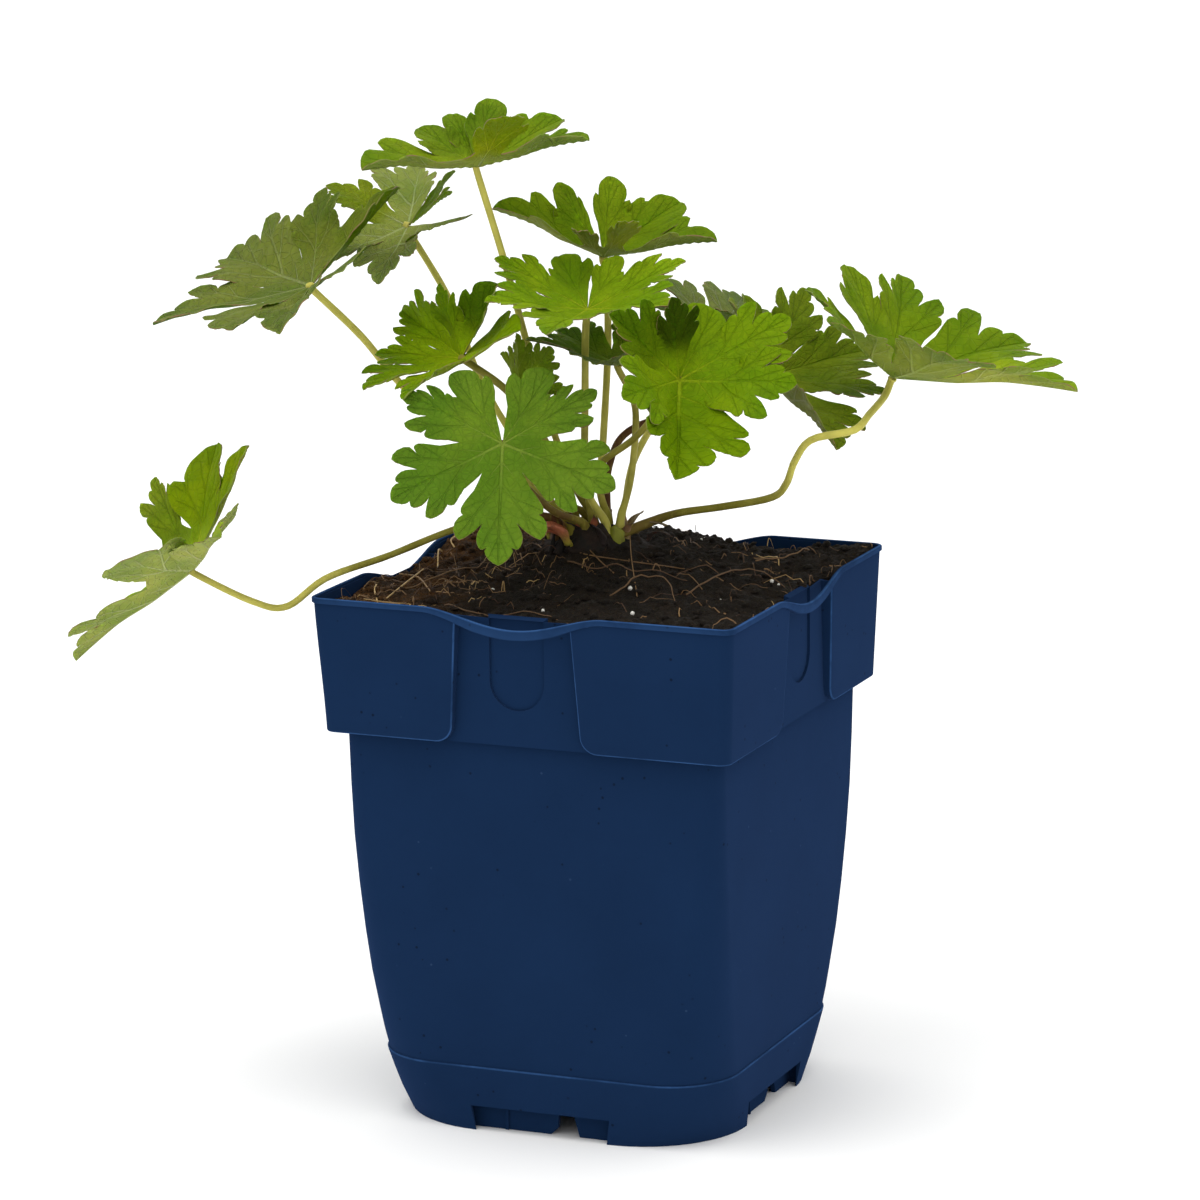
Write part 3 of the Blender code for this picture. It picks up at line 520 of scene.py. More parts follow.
def set_along(verts, route, radii, squash=1.0, layer=None):
    """Sets the rings of a straight tube along a route."""
    frames = route_frames(route)
    last = len(route) - 1
    for vert in verts:
        k = round(vert.co.z * last)
        _, side, up = frames[k]
        offset = side * vert.co.x + up * vert.co.y * squash
        if layer is not None:
            vert[layer] = k / last
        vert.co = route[k] + offset * radii[k]


# ---------------------------------------------------------------- material helpers


def wire(tree, target, value):
    """Links a socket, or sets a plain value."""
    if isinstance(value, bpy.types.NodeSocket):
        tree.links.new(value, target)
    elif value is not None:
        target.default_value = value


def add_node(tree, kind, inputs=None, **settings):
    node = tree.nodes.new(kind)
    for key, value in settings.items():
        setattr(node, key, value)
    for key, value in (inputs or {}).items():
        wire(tree, node.inputs[key], value)
    return node


def math_node(tree, operation, a, b=None):
    node = add_node(tree, "ShaderNodeMath", {0: a}, operation=operation)
    wire(tree, node.inputs[1], b)
    return node.outputs[0]


def times(tree, a, b):
    return math_node(tree, "MULTIPLY", a, b)


def vector_node(tree, operation, a, b=None):
    node = add_node(tree, "ShaderNodeVectorMath", {0: a}, operation=operation)
    wire(tree, node.inputs[1], b)
    return node.outputs["Value" if operation == "DOT_PRODUCT" else "Vector"]


def colour_mix(tree, share, a, b, blend="MIX"):
    node = tree.nodes.new("ShaderNodeMix")
    node.data_type = "RGBA"
    node.blend_type = blend
    for index, value in ((0, share), (6, a), (7, b)):
        if isinstance(value, tuple) and len(value) == 3:
            value = (*value, 1.0)
        wire(tree, node.inputs[index], value)
    return node.outputs[2]


def ranged(tree, value, low, high, to_low=0.0, to_high=1.0, smooth=True):
    node = add_node(tree, "ShaderNodeMapRange", interpolation_type="SMOOTHSTEP" if smooth else "LINEAR")
    for index, item in enumerate((value, low, high, to_low, to_high)):
        wire(tree, node.inputs[index], item)
    return node.outputs[0]


def noise_node(tree, vector, scale, detail=4.0, roughness=0.55):
    inputs = {"Vector": vector, "Scale": scale, "Detail": detail, "Roughness": roughness}
    return add_node(tree, "ShaderNodeTexNoise", inputs).outputs["Fac"]


def marked(tree, name, output="Fac"):
    """A value or colour that the vertices of a piece carry."""
    return add_node(tree, "ShaderNodeAttribute", attribute_name=name).outputs[output]


def bump(tree, height, strength, distance, normal=None):
    node = add_node(tree, "ShaderNodeBump", {"Strength": strength, "Distance": distance, "Height": height})
    wire(tree, node.inputs["Normal"], normal)
    return node.outputs["Normal"]


def new_material(name, roughness=0.5, **shader_values):
    """A material, its nodes, shader and Object coordinates. Values are named for the shader's sockets."""
    mat = bpy.data.materials.new(name)
    mat.use_nodes = True
    tree = mat.node_tree
    shader = tree.nodes["Principled BSDF"]
    shader.inputs["Roughness"].default_value = roughness
    for key, value in shader_values.items():
        shader.inputs[key.replace("_", " ")].default_value = value
    return mat, tree, shader, add_node(tree, "ShaderNodeTexCoord").outputs["Object"]


def dress(tree, shader, colour, normal=None, roughness=None):
    """Feeds a shader's colour, and its normal and roughness where they change over the surface."""
    for socket, value in (("Base Color", colour), ("Normal", normal), ("Roughness", roughness)):
        wire(tree, shader.inputs[socket], value)


def translucent(weight, depths):
    """Shader values of thin plant skin: share of light that goes in, and how deep red, green and blue go."""
    return {"Subsurface_Weight": weight, "Subsurface_Radius": depths, "Subsurface_Scale": 1.0}


def new_group(name, inputs, outputs):
    """Shader node group with its own inputs and outputs: each is (name, kind, default)."""
    tree = bpy.data.node_groups.new(name, "ShaderNodeTree")
    for label, kind, default in inputs:
        socket = tree.interface.new_socket(label, in_out="INPUT", socket_type=f"NodeSocket{kind}")
        if default is not None:
            socket.default_value = default
    for label, kind in outputs:
        tree.interface.new_socket(label, in_out="OUTPUT", socket_type=f"NodeSocket{kind}")
    start = tree.nodes.new("NodeGroupInput")
    end = tree.nodes.new("NodeGroupOutput")
    return tree, start.outputs, end.inputs


def place_group(tree, name, inputs):
    node = tree.nodes.new("ShaderNodeGroup")
    node.node_tree = bpy.data.node_groups[name]
    for key, value in inputs.items():
        wire(tree, node.inputs[key], value)
    return node.outputs


# Ribs of half a lobe, in lobe lengths from the joint: start, end, width at the start and at the end.
RIBS = (
    ((0.0, 0.0), (0.99, 0.0), 0.012, 0.005),
    ((0.33, 0.0), (0.80, 0.32), 0.010, 0.004),
    ((0.60, 0.0), (0.90, 0.15), 0.008, 0.003),
    ((0.47, 0.095), (0.60, 0.34), 0.006, 0.003),
    ((0.62, 0.20), (0.71, 0.36), 0.005, 0.002),
    ((0.60, 0.185), (0.80, 0.245), 0.005, 0.002),
    ((0.78, 0.0), (0.955, 0.075), 0.005, 0.002),
    ((0.15, 0.0), (0.31, 0.11), 0.006, 0.002),
)
# Cells of the net between the ribs, in a lobe's length.
NET_SCALE = 17.0


def make_rib_group():
    """Masks of a leaf's ribs and of the fine net between them, from the place on half a lobe."""
    tree, given, made = new_group(
        "leaf ribs",
        [("Place", "Vector", None), ("Width", "Float", 1.0)],
        [("Main", "Float"), ("Side", "Float"), ("Net", "Float"), ("Along", "Float")],
    )
    place = given["Place"]
    masks = []
    for start, end, wide, narrow in RIBS:
        span = Vector(end) - Vector(start)
        length = span.length
        span.normalize()
        apart = vector_node(tree, "SUBTRACT", place, (*start, 0.0))
        along = vector_node(tree, "DOT_PRODUCT", apart, (span.x, span.y, 0.0))
        across = math_node(tree, "ABSOLUTE", vector_node(tree, "DOT_PRODUCT", apart, (-span.y, span.x, 0.0)))
        width = ranged(tree, along, 0.0, length, wide, narrow, False)
        width = times(tree, width, given["Width"])
        share = math_node(tree, "DIVIDE", across, width)
        mask = ranged(tree, share, 0.5, 1.6, 1.0, 0.0)
        inside = ranged(tree, along, -0.01, 0.01)
        ending = ranged(tree, along, length - 0.03, length + 0.01, 1.0, 0.0)
        masks.append(times(tree, times(tree, mask, inside), ending))
    side = masks[1]
    for mask in masks[2:]:
        side = math_node(tree, "MAXIMUM", side, mask)
    inputs = {"Vector": place, "Scale": NET_SCALE}
    cells = add_node(tree, "ShaderNodeTexVoronoi", inputs, feature="DISTANCE_TO_EDGE")
    net = ranged(tree, cells.outputs["Distance"], 0.02, 0.10, 1.0, 0.0)
    tree.links.new(masks[0], made["Main"])
    tree.links.new(side, made["Side"])
    tree.links.new(net, made["Net"])
    split = add_node(tree, "ShaderNodeSeparateXYZ", {0: place})
    tree.links.new(split.outputs[0], made["Along"])


def make_mottle_group():
    """Colour made lighter and darker in soft patches."""
    tree, given, made = new_group(
        "mottle",
        [
            ("Colour", "Color", None),
            ("Vector", "Vector", None),
            ("Scale", "Float", 50.0),
            ("Amount", "Float", 0.2),
        ],
        [("Colour", "Color")],
    )
    patches = noise_node(tree, given["Vector"], given["Scale"])
    swing = times(tree, math_node(tree, "SUBTRACT", patches, 0.5), given["Amount"])
    factor = math_node(tree, "ADD", times(tree, swing, 3.0), 1.0)
    scaled = vector_node(tree, "MULTIPLY", given["Colour"])
    tree.links.new(factor, scaled.node.inputs[1])
    tree.links.new(scaled, made["Colour"])


def mottled(tree, colour, place, scale, amount):
    inputs = {"Colour": colour, "Vector": place, "Scale": scale, "Amount": amount}
    return place_group(tree, "mottle", inputs)["Colour"]


# ---------------------------------------------------------------- pot


def strap_dip(along):
    """How far the rim dips at a distance from the middle of a recess."""
    return STRAP_DIP * (0.5 + 0.5 * math.cos(math.pi * min(1.0, abs(along) / STRAP_HALF))) ** 0.8


def splay(place):
    """How far the bent left front corner of the collar moves a place to the left."""
    raised = smooth_step((place.z - PANEL_FOOT) / (RIM_HEIGHT - PANEL_FOOT))
    apart = math.hypot(place.x + RIM_HALF, place.y + RIM_HALF)
    return CORNER_SPLAY * raised * (1 - smooth_step(apart / SPLAY_REACH))


def side_turn(side):
    """Quarter turns from the front of the pot to one of its sides."""
    return Matrix.Rotation(math.radians(90 * side), 3, "Z")


def set_on_side(bm, side):
    """Turns an open sheet from the pot's front to one of its sides, with its faces outwards."""
    bmesh.ops.rotate(bm, cent=(0, 0, 0), matrix=side_turn(side), verts=bm.verts)
    bmesh.ops.recalc_face_normals(bm, faces=bm.faces)
    if sum(f.normal.xy.dot(f.calc_center_median().xy) * f.calc_area() for f in bm.faces) < 0:
        bmesh.ops.reverse_faces(bm, faces=bm.faces)


def round_corner(x, y, half, corner):
    """Pulls a place past the rounded corner of a square back onto the corner's arc."""
    over_x, over_y = abs(x) - (half - corner), abs(y) - (half - corner)
    over = math.hypot(over_x, over_y)
    if over_x > 0 and over_y > 0 and over > corner:
        x = math.copysign(half - corner + over_x * corner / over, x)
        y = math.copysign(half - corner + over_y * corner / over, y)
    return x, y


def rounded_square(half, corner, flats, steps):
    """Points of a rounded square: at the given places along each side, then round the corner after it."""
    points = []
    for side in range(SIDES):
        turn = side_turn(side)
        for along in flats:
            x = max(-(half - corner), min(half - corner, along))
            points.append(turn @ Vector((x, -half, 0)))
        for step in range(1, steps):
            angle = math.radians(90 * step / steps)
            x = half - corner + corner * math.sin(angle)
            y = -(half - corner) - corner * math.cos(angle)
            points.append(turn @ Vector((x, y, 0)))
    return points


def extrude_ring(bm, ring, places):
    """Extrudes a closed ring of vertices, sets the new ring at the given places and returns it."""
    loop = set(ring)
    edges = dict.fromkeys(e for vert in ring for e in vert.link_edges if e.other_vert(vert) in loop)
    new_verts = set(extrude_edges(bm, list(edges)))
    following = []
    for vert in ring:
        following.append(next(e.other_vert(vert) for e in vert.link_edges if e.other_vert(vert) in new_verts))
    for vert, place in zip(following, places):
        vert.co = place
    return following


def first_ring(bm, places):
    """A closed ring of edges through the given places."""
    ring = bmesh.ops.create_circle(bm, segments=len(places), radius=1.0)["verts"]
    for vert, place in zip(ring, places):
        vert.co = place
    return ring


BODY_CORNER_STEPS = 14


def body_places(height, half, corner):
    """Points round the body at one height, with one at each side of every notch."""
    notch = mix(NOTCH_FOOT_HALF, NOTCH_TOP_HALF, min(1.0, height / NOTCH_TOP))
    flats = [corner - half, -26, -notch, -12, 0, 12, notch, 26, half - corner]
    points = rounded_square(half, corner, flats, BODY_CORNER_STEPS)
    for point in points:
        point.z = height
    return points


def pot_body():
    """The pot's tapering body with its notched skirt, whose upper edge carries a painted highlight."""
    bm = bmesh.new()
    edge = bm.verts.layers.float.new("edge")
    ring = first_ring(bm, body_places(*BODY[0]))
    for row in BODY[1:]:
        ring = extrude_ring(bm, ring, body_places(*row))
        for vert in ring:
            # Painted highlight on the ledge at the skirt's upper edge, where it would catch the light.
            vert[edge] = SKIRT_EDGE_HIGHLIGHT * (0 <= BAND_HEIGHT - row[0] < SKIRT_EDGE)
    cut = []
    for face in bm.faces:
        middle = face.calc_center_median()
        near = min(abs(middle.x), abs(middle.y))
        if middle.z < NOTCH_TOP and near < NOTCH_TOP_HALF:
            cut.append(face)
    bmesh.ops.delete(bm, geom=cut, context="FACES")
    bmesh.ops.recalc_face_normals(bm, faces=bm.faces)
    return bm


LEAST_CORNER = 0.6
# How far from the middle of a side the panels start to stretch and shrink with its width.
STRETCH_FROM = 30.0


def wrap(path, height, depth):
    """Place on a corner panel, from the distance along it, the height and the depth behind its face.

    The path counts from the middle of one side, round the corner, to the middle of the next side.
    """
    straight = PANEL_TOP_HALF - PANEL_CORNER
    arc = math.pi / 2 * PANEL_CORNER
    share = (height - PANEL_FOOT) / (RIM_HEIGHT - PANEL_FOOT)
    half = mix(PANEL_FOOT_HALF, PANEL_TOP_HALF, share) - depth
    corner = max(PANEL_CORNER - depth, LEAST_CORNER)
    flat = half - corner

    def stretched(along):
        return along + (flat - straight) * max(0.0, (along - STRETCH_FROM) / (straight - STRETCH_FROM))

    if path <= straight:
        return Vector((stretched(path), -half, height))
    if path >= straight + arc:
        return Vector((half, -stretched(2 * straight + arc - path), height))
    angle = (path - straight) / arc * math.pi / 2
    return Vector((flat + corner * math.sin(angle), -flat - corner * math.cos(angle), height))


PANEL_TOP = RIM_HEIGHT - 0.8
# Where a panel is cut before it is bent: steps round the corner, distances from its ends, and heights.
PANEL_ARC_CUTS = 8
PANEL_END_CUTS = [18.5 + 1.5 * i for i in range(7)]
PANEL_FLAT_CUTS = [35, 48]
PANEL_HEIGHT_CUTS = (124, 130, 138, 146, 154)


def corner_panel(side):
    """One raised corner panel of the collar, wrapped round its corner of the pot."""
    bm = bmesh.new()
    edge = bm.verts.layers.float.new("edge")
    reach = 2 * (PANEL_TOP_HALF - PANEL_CORNER) + math.pi / 2 * PANEL_CORNER
    here = RECESS_MIDDLES[side]
    there = RECESS_MIDDLES[(side + 1) % SIDES]
    outline = [
        (here + RECESS_TOP_WIDTH, PANEL_TOP),
        (here + RECESS_FOOT_WIDTH, PANEL_FOOT),
        (reach + there - RECESS_FOOT_WIDTH, PANEL_FOOT),
        (reach + there - RECESS_TOP_WIDTH, PANEL_TOP),
    ]
    verts = [bm.verts.new((x, 0, z)) for x, z in outline]
    bm.faces.new(verts)
    bmesh.ops.bevel(
        bm,
        geom=verts[1:3],
        offset=PANEL_ROUNDING,
        segments=7,
        profile=0.5,
        material=-1,
        affect="VERTICES",
    )
    open_edges = [e for e in bm.edges if min(v.co.z for v in e.verts) < PANEL_TOP - NEAR]
    bmesh.ops.translate(bm, vec=(0, PANEL_DEPTH, 0), verts=extrude_edges(bm, open_edges))
    border = [e for e in bm.edges if len(e.link_faces) == 2 and all(v.co.y < SAME for v in e.verts)]
    round_edges(bm, border, BEVEL, 3)
    arc_start = PANEL_TOP_HALF - PANEL_CORNER
    arc = math.pi / 2 * PANEL_CORNER
    cuts = [arc_start + arc * i / PANEL_ARC_CUTS for i in range(PANEL_ARC_CUTS + 1)]
    cuts += [here + place for place in PANEL_END_CUTS] + [reach + there - place for place in PANEL_END_CUTS]
    cuts += PANEL_FLAT_CUTS + [reach - place for place in PANEL_FLAT_CUTS]
    for place in cuts:
        cut_across(bm, (place, 0, 0), (1, 0, 0))
    for height in PANEL_HEIGHT_CUTS:
        cut_across(bm, (0, 0, height), (0, 0, 1))
    for vert in bm.verts:
        path, depth, height = vert.co
        near = min(abs(path - here), abs(reach + there - path))
        lowered = height - strap_dip(near) * (height - PANEL_FOOT) / (PANEL_TOP - PANEL_FOOT)
        # Painted highlight on the bevel round the panel's border.
        vert[edge] = PANEL_EDGE_HIGHLIGHT * (0.02 < depth < BEVEL - 0.05)
        vert.co = wrap(path, lowered, depth)
    set_on_side(bm, side)
    return bm


# How far the set-back plate runs behind the panels, and how deep the ledge under it is.
RECESS_LAP = 2.0
RECESS_LEDGE = 3.0
POCKET_STEPS = 16


def recess_plate(side):
    """The set-back plate between two corner panels, with its round-bottomed label pocket."""
    bm = bmesh.new()
    edge_mark = bm.verts.layers.float.new("edge")
    foot = PANEL_FOOT + NEAR
    heights = (foot, GROOVE_FOOT + GROOVE_HALF, RECESS_TOP)
    columns = []
    for x in (GROOVE_MIDDLE - GROOVE_HALF, GROOVE_MIDDLE + GROOVE_HALF):
        columns.append([bm.verts.new((x, 0, z)) for z in heights])
    arc = []
    for step in range(1, POCKET_STEPS):
        angle = math.pi * step / POCKET_STEPS
        x = GROOVE_MIDDLE - GROOVE_HALF * math.cos(angle)
        arc.append(bm.verts.new((x, 0, GROOVE_FOOT + GROOVE_HALF * (1 - math.sin(angle)))))
    reach = RECESS_FOOT_WIDTH + RECESS_LAP
    outline = ((-reach, RECESS_TOP), (-reach, foot), (reach, foot), (reach, RECESS_TOP))
    corners = [bm.verts.new((x, 0, z)) for x, z in outline]
    (foot_left, left, top_left), (foot_right, right, top_right) = columns
    bm.faces.new((*corners[:2], foot_left, left, top_left))
    bm.faces.new((top_right, right, foot_right, *corners[2:]))
    sunk = bm.faces.new((left, *arc, right, top_right, top_left))
    bm.faces.new((foot_left, foot_right, right, *reversed(arc), left))
    made = bmesh.ops.extrude_face_region(bm, geom=[sunk])["geom"]
    moved = [item for item in made if isinstance(item, bmesh.types.BMVert)]
    bmesh.ops.translate(bm, vec=(0, GROOVE_DEPTH, 0), verts=moved)
    if sunk.is_valid:
        bmesh.ops.delete(bm, geom=[sunk], context="FACES_ONLY")
    bmesh.ops.recalc_face_normals(bm, faces=bm.faces)
    walls = {f for f in bm.faces if f.calc_center_median().y > NEAR and abs(f.normal.y) < 0.5}
    flat_edges = [e for e in bm.edges if all(abs(v.co.y) < SAME for v in e.verts)]
    lip = [e for e in flat_edges if len(e.link_faces) == 2 and walls & set(e.link_faces)]
    round_edges(bm, lip, POCKET_BEVEL, 2)
    # Painted highlight on the bevel round the label pocket.
    for vert in bm.verts:
        vert[edge_mark] = PANEL_EDGE_HIGHLIGHT * (0.02 < vert.co.y < POCKET_BEVEL - 0.03)
    foot_edges = [e for e in bm.edges if e.is_boundary and all(abs(v.co.z - foot) < SAME for v in e.verts)]
    bmesh.ops.translate(bm, vec=(0, RECESS_LEDGE, 0), verts=extrude_edges(bm, foot_edges))
    bmesh.ops.translate(bm, vec=(RECESS_MIDDLES[side], -RECESS_HALF, 0), verts=bm.verts)
    set_on_side(bm, side)
    return bm


RIM_FLATS = [1.5 * i for i in range(-40, 41)]
RIM_CORNER = PANEL_CORNER + 0.3
RIM_CORNER_STEPS = 8
# How soon the band reaches its strap's height as the rim dips.
STRAP_GAIN = 1.6
# Cross-section from the rim's inner foot to its inner top: inset, share of the band's height, strength of the
# painted highlight.
RIM_SECTION = (
    (RIM_THICKNESS, 0.0, 0.0),
    (0.25, 0.0, 0.0),
    (0.0, 0.12, 0.15),
    (0.0, 0.86, 0.10),
    (0.3, 1.0, 0.60),
    (RIM_THICKNESS - 0.3, 1.0, 0.20),
    (RIM_THICKNESS, 0.86, 0.0),
)


def rim_band():
    """The thin rim all round the pot, which dips across each recess as a strap."""
    middles = []
    for point in rounded_square(RIM_HALF, RIM_CORNER, RIM_FLATS, RIM_CORNER_STEPS):
        side = rim_side(point)
        middles.append((side_turn(-side) @ point).x - RECESS_MIDDLES[side])
    bm = bmesh.new()
    edge = bm.verts.layers.float.new("edge")
    rings = []
    for inset, share, mark in RIM_SECTION:
        corner = max(RIM_CORNER - inset, LEAST_CORNER)
        places = rounded_square(RIM_HALF - inset, corner, RIM_FLATS, RIM_CORNER_STEPS)
        for place, along in zip(places, middles):
            dip = strap_dip(along)
            band = mix(RIM_BAND, STRAP_BAND, min(1.0, dip / STRAP_DIP * STRAP_GAIN))
            place.z = RIM_HEIGHT - dip - band * (1 - share)
        ring = first_ring(bm, places) if not rings else extrude_ring(bm, rings[-1], places)
        # Painted highlight along the rim's edges, set by the section's third column.
        for vert in ring:
            vert[edge] = mark
        rings.append(ring)
    first, last = set(rings[0]), set(rings[-1])
    loops = [e for e in bm.edges if e.is_boundary and (set(e.verts) <= first or set(e.verts) <= last)]
    bmesh.ops.bridge_loops(bm, edges=loops)
    bmesh.ops.recalc_face_normals(bm, faces=bm.faces)
    return bm


def rim_side(point):
    """Which side of the pot a place belongs to: 0 front, 1 right, 2 back, 3 left."""
    if abs(point.y) >= abs(point.x):
        return 0 if point.y < 0 else 2
    return 1 if point.x > 0 else 3


# Behind each notch: the drain slot, how far its foot opens, the rib, and the cheeks at the notch's ends.
SLOT = (5.4, 9.6)
SLOT_OPENING = (0.4, 2.4)
SLOT_BEVEL = 2.2
FOOT_RIB = (-11.6, -10.6)
FOOT_RIB_DEPTH = 0.6
FOOT_LAP = 2.0
CHEEK = 1.2
CHEEK_FRONT = 52.2
FOOT_SINK = 0.5


def foot_walls(side):
    """The set-back walls behind a notch, with the drain slot between them and a small rib."""
    bm = bmesh.new()
    back = -SET_BACK_HALF
    inside = back + FOOT_SINK
    top = FLOOR_UNDERSIDE + 1.0
    notch = NOTCH_FOOT_HALF
    spans = (
        (-notch - FOOT_LAP, SLOT[0], back, back + WALL),
        (SLOT[1], notch + FOOT_LAP, back, back + WALL),
        (*FOOT_RIB, back - FOOT_RIB_DEPTH, inside),
        (-notch - CHEEK, -notch, -CHEEK_FRONT, inside),
        (notch, notch + CHEEK, -CHEEK_FRONT, inside),
    )
    for low_x, high_x, low_y, high_y in spans:
        made = bmesh.ops.create_cube(bm, size=1.0)["verts"]
        bmesh.ops.scale(bm, vec=(high_x - low_x, high_y - low_y, top - 0.05), verts=made)
        bmesh.ops.translate(bm, vec=((low_x + high_x) / 2, (low_y + high_y) / 2, top / 2), verts=made)
    for vert in bm.verts:
        low = vert.co.z < 1
        if abs(vert.co.x - SLOT[1]) < NEAR and low:
            vert.co.x += SLOT_OPENING[1]
        if abs(vert.co.x - SLOT[0]) < NEAR and low:
            vert.co.x -= SLOT_OPENING[0]
    slot_foot = SLOT[0] - SLOT_OPENING[0]
    corners = [e for e in bm.edges if all(abs(v.co.x - slot_foot) < NEAR and v.co.z < 1 for v in e.verts)]
    bmesh.ops.bevel(bm, geom=corners, offset=SLOT_BEVEL, segments=1, profile=0.5, material=-1, affect="EDGES")
    bmesh.ops.translate(bm, vec=(NOTCH_MIDDLES[side], 0, 0), verts=bm.verts)
    bmesh.ops.rotate(bm, cent=(0, 0, 0), matrix=side_turn(side), verts=bm.verts)
    return bm


# The floor is a square of the first size whose corners follow a rounded square of the second.
FLOOR_FLAT_HALF = 48.0
FLOOR_HALF = 52.0
FLOOR_CORNER = 25.0
FLOOR_CELLS = 12
DRAIN_HOLES = ((0, 0), (-24, -24), (24, -24), (24, 24), (-24, 24))
DRAIN_RADIUS = 4.0


def pot_floor():
    """The pot's floor with its round drain holes."""
    bm = bmesh.new()
    bmesh.ops.create_grid(bm, x_segments=FLOOR_CELLS, y_segments=FLOOR_CELLS, size=FLOOR_FLAT_HALF)
    for vert in bm.verts:
        vert.co.xy = round_corner(vert.co.x, vert.co.y, FLOOR_HALF, FLOOR_CORNER)
    holes = [v for v in bm.verts if any(math.hypot(v.co.x - x, v.co.y - y) < NEAR for x, y in DRAIN_HOLES)]
    cells = list({f for v in holes for f in v.link_faces})
    spots = [v.co.copy() for v in holes]
    bmesh.ops.delete(bm, geom=cells, context="FACES")
    loose = [e for e in bm.edges if not e.link_faces]
    bmesh.ops.delete(bm, geom=loose, context="EDGES")
    bmesh.ops.delete(bm, geom=[v for v in bm.verts if not v.link_edges], context="VERTS")
    for spot in spots:
        edges = [e for e in bm.edges if e.is_boundary and (e.verts[0].co - spot).length < 3 * DRAIN_RADIUS]
        for vert in extrude_edges(bm, edges):
            vert.co = spot + (vert.co - spot).normalized() * DRAIN_RADIUS
    bmesh.ops.translate(bm, vec=(0, 0, FLOOR_UNDERSIDE), verts=bm.verts)
    bmesh.ops.recalc_face_normals(bm, faces=bm.faces)
    return bm


def join_meshes(target, bm, thickness=0.0, offset=-1.0, even=True):
    """Adds a bmesh to the target, as a solid wall where a thickness is given."""
    form = bpy.data.meshes.new("wall_form")
    bm.to_mesh(form)
    bm.free()
    if thickness:
        obj = bpy.data.objects.new("wall_form", form)
        bpy.context.scene.collection.objects.link(obj)
        thicken(obj, thickness, offset, even=even)
        apply_modifiers(obj)
        form = obj.data
        bpy.data.objects.remove(obj)
    target.from_mesh(form)
    bpy.data.meshes.remove(form)


SHEEN_BLUE = (0.28, 0.43, 1.0, 1.0)
# Dark dots, and pale dots that are painted tiny highlights: scale, inner and outer radius, scale and range of
# their patches, strength, colour.
SPECKS = (
    (230.0, 0.07, 0.13, 90.0, 0.50, 0.56, 0.9, (0.004, 0.009, 0.022)),
    (150.0, 0.035, 0.07, 60.0, 0.54, 0.62, 0.3, (0.05, 0.09, 0.18)),
)


def plastic_material(settings):
    mat, tree, shader, place = new_material(
        "pot_plastic", Specular_IOR_Level=0.0, Sheen_Weight=0.07, Sheen_Roughness=0.5, Sheen_Tint=SHEEN_BLUE
    )
    base = mottled(tree, (*settings.plastic, 1.0), place, 28.0, 0.10)
    for scale, inner, outer, patches, low, high, strength, colour in SPECKS:
        cells = add_node(tree, "ShaderNodeTexVoronoi", {"Vector": place, "Scale": scale})
        speck = ranged(tree, cells.outputs["Distance"], inner, outer, 1.0, 0.0)
        speck = times(tree, speck, ranged(tree, noise_node(tree, place, patches, 2.0), low, high))
        base = colour_mix(tree, times(tree, speck, strength), base, colour)
    # Painted highlight: the moulded edges turn paler blue, broken into patches by noise.
    edge = marked(tree, "edge")
    highlight_patches = ranged(tree, noise_node(tree, place, 55.0, 4.0, 0.7), 0.32, 0.62, 0.25, 0.95)
    base = colour_mix(tree, times(tree, edge, highlight_patches), base, (*settings.wear_and_highlight, 1.0))
    dull = noise_node(tree, place, 45.0, 5.0, 0.6)
    rough = ranged(tree, dull, 0.3, 0.7, settings.roughness - 0.05, settings.roughness + 0.07)
    grain = noise_node(tree, place, 1500.0, 3.0, 0.6)
    ripple = noise_node(tree, place, 35.0, 3.0, 0.5)
    stretched = vector_node(tree, "MULTIPLY", place, (60.0, 60.0, 900.0))
    drawn = noise_node(tree, stretched, 1.0, 3.0, 0.6)
    soft = bump(tree, ripple, 0.25, 0.0008)
    lines = bump(tree, drawn, 0.05, 0.0002, soft)
    dress(tree, shader, base, bump(tree, grain, 0.10, 0.0001, lines), rough)
    return mat


class PLANT_OT_pot(Operator):
    """Moulds the square pot: tapering body, corner panels, label pockets, rim straps and drained foot"""

    bl_idname = "plant.pot"
    bl_label = "Pot"

    def execute(self, context):
        mat = plastic_material(context.scene.plant_pot)
        shell = bmesh.new()
        shell.verts.layers.float.new("edge")
        join_meshes(shell, pot_body(), WALL)
        join_meshes(shell, pot_floor(), WALL, 1.0)
        for side in range(SIDES):
            join_meshes(shell, corner_panel(side), COLLAR_WALL)
            join_meshes(shell, recess_plate(side), COLLAR_WALL)
            join_meshes(shell, foot_walls(side))
        join_meshes(shell, rim_band())
        for vert in shell.verts:
            vert.co.x -= splay(vert.co)
        finish_piece("pot_shell", shell, [mat], ["pot"], smooth=35)
        return {"FINISHED"}


# ---------------------------------------------------------------- compost


MOUND_SPREAD = 38.0
# Rise towards the back: height, where it starts, over what distance.
BACK_RISE = (3.5, -10, 70)
# Dip at the back edge: depth, its middle and half width along the edge, where it starts, over what distance.
BACK_DIP = (4.8, 29, 14.0, 46, 13)
# Low hill at the left: height, place, spread.
LEFT_HILL = (0.9, -54, -30, 24.0)
# Heights of the broad and the small soft lumps.
LUMPS = (0.7, 0.4)
# Sizes and heights of the clods, crumbs and grit, and how far they sink in.
CLOD_SIZE = 9.0
CLOD_HEIGHT = 1.3
CRUMB_SIZE = 2.1
CRUMB_HEIGHT = 1.7
GRIT_HEIGHT = 0.5
RELIEF_SINK = 0.9


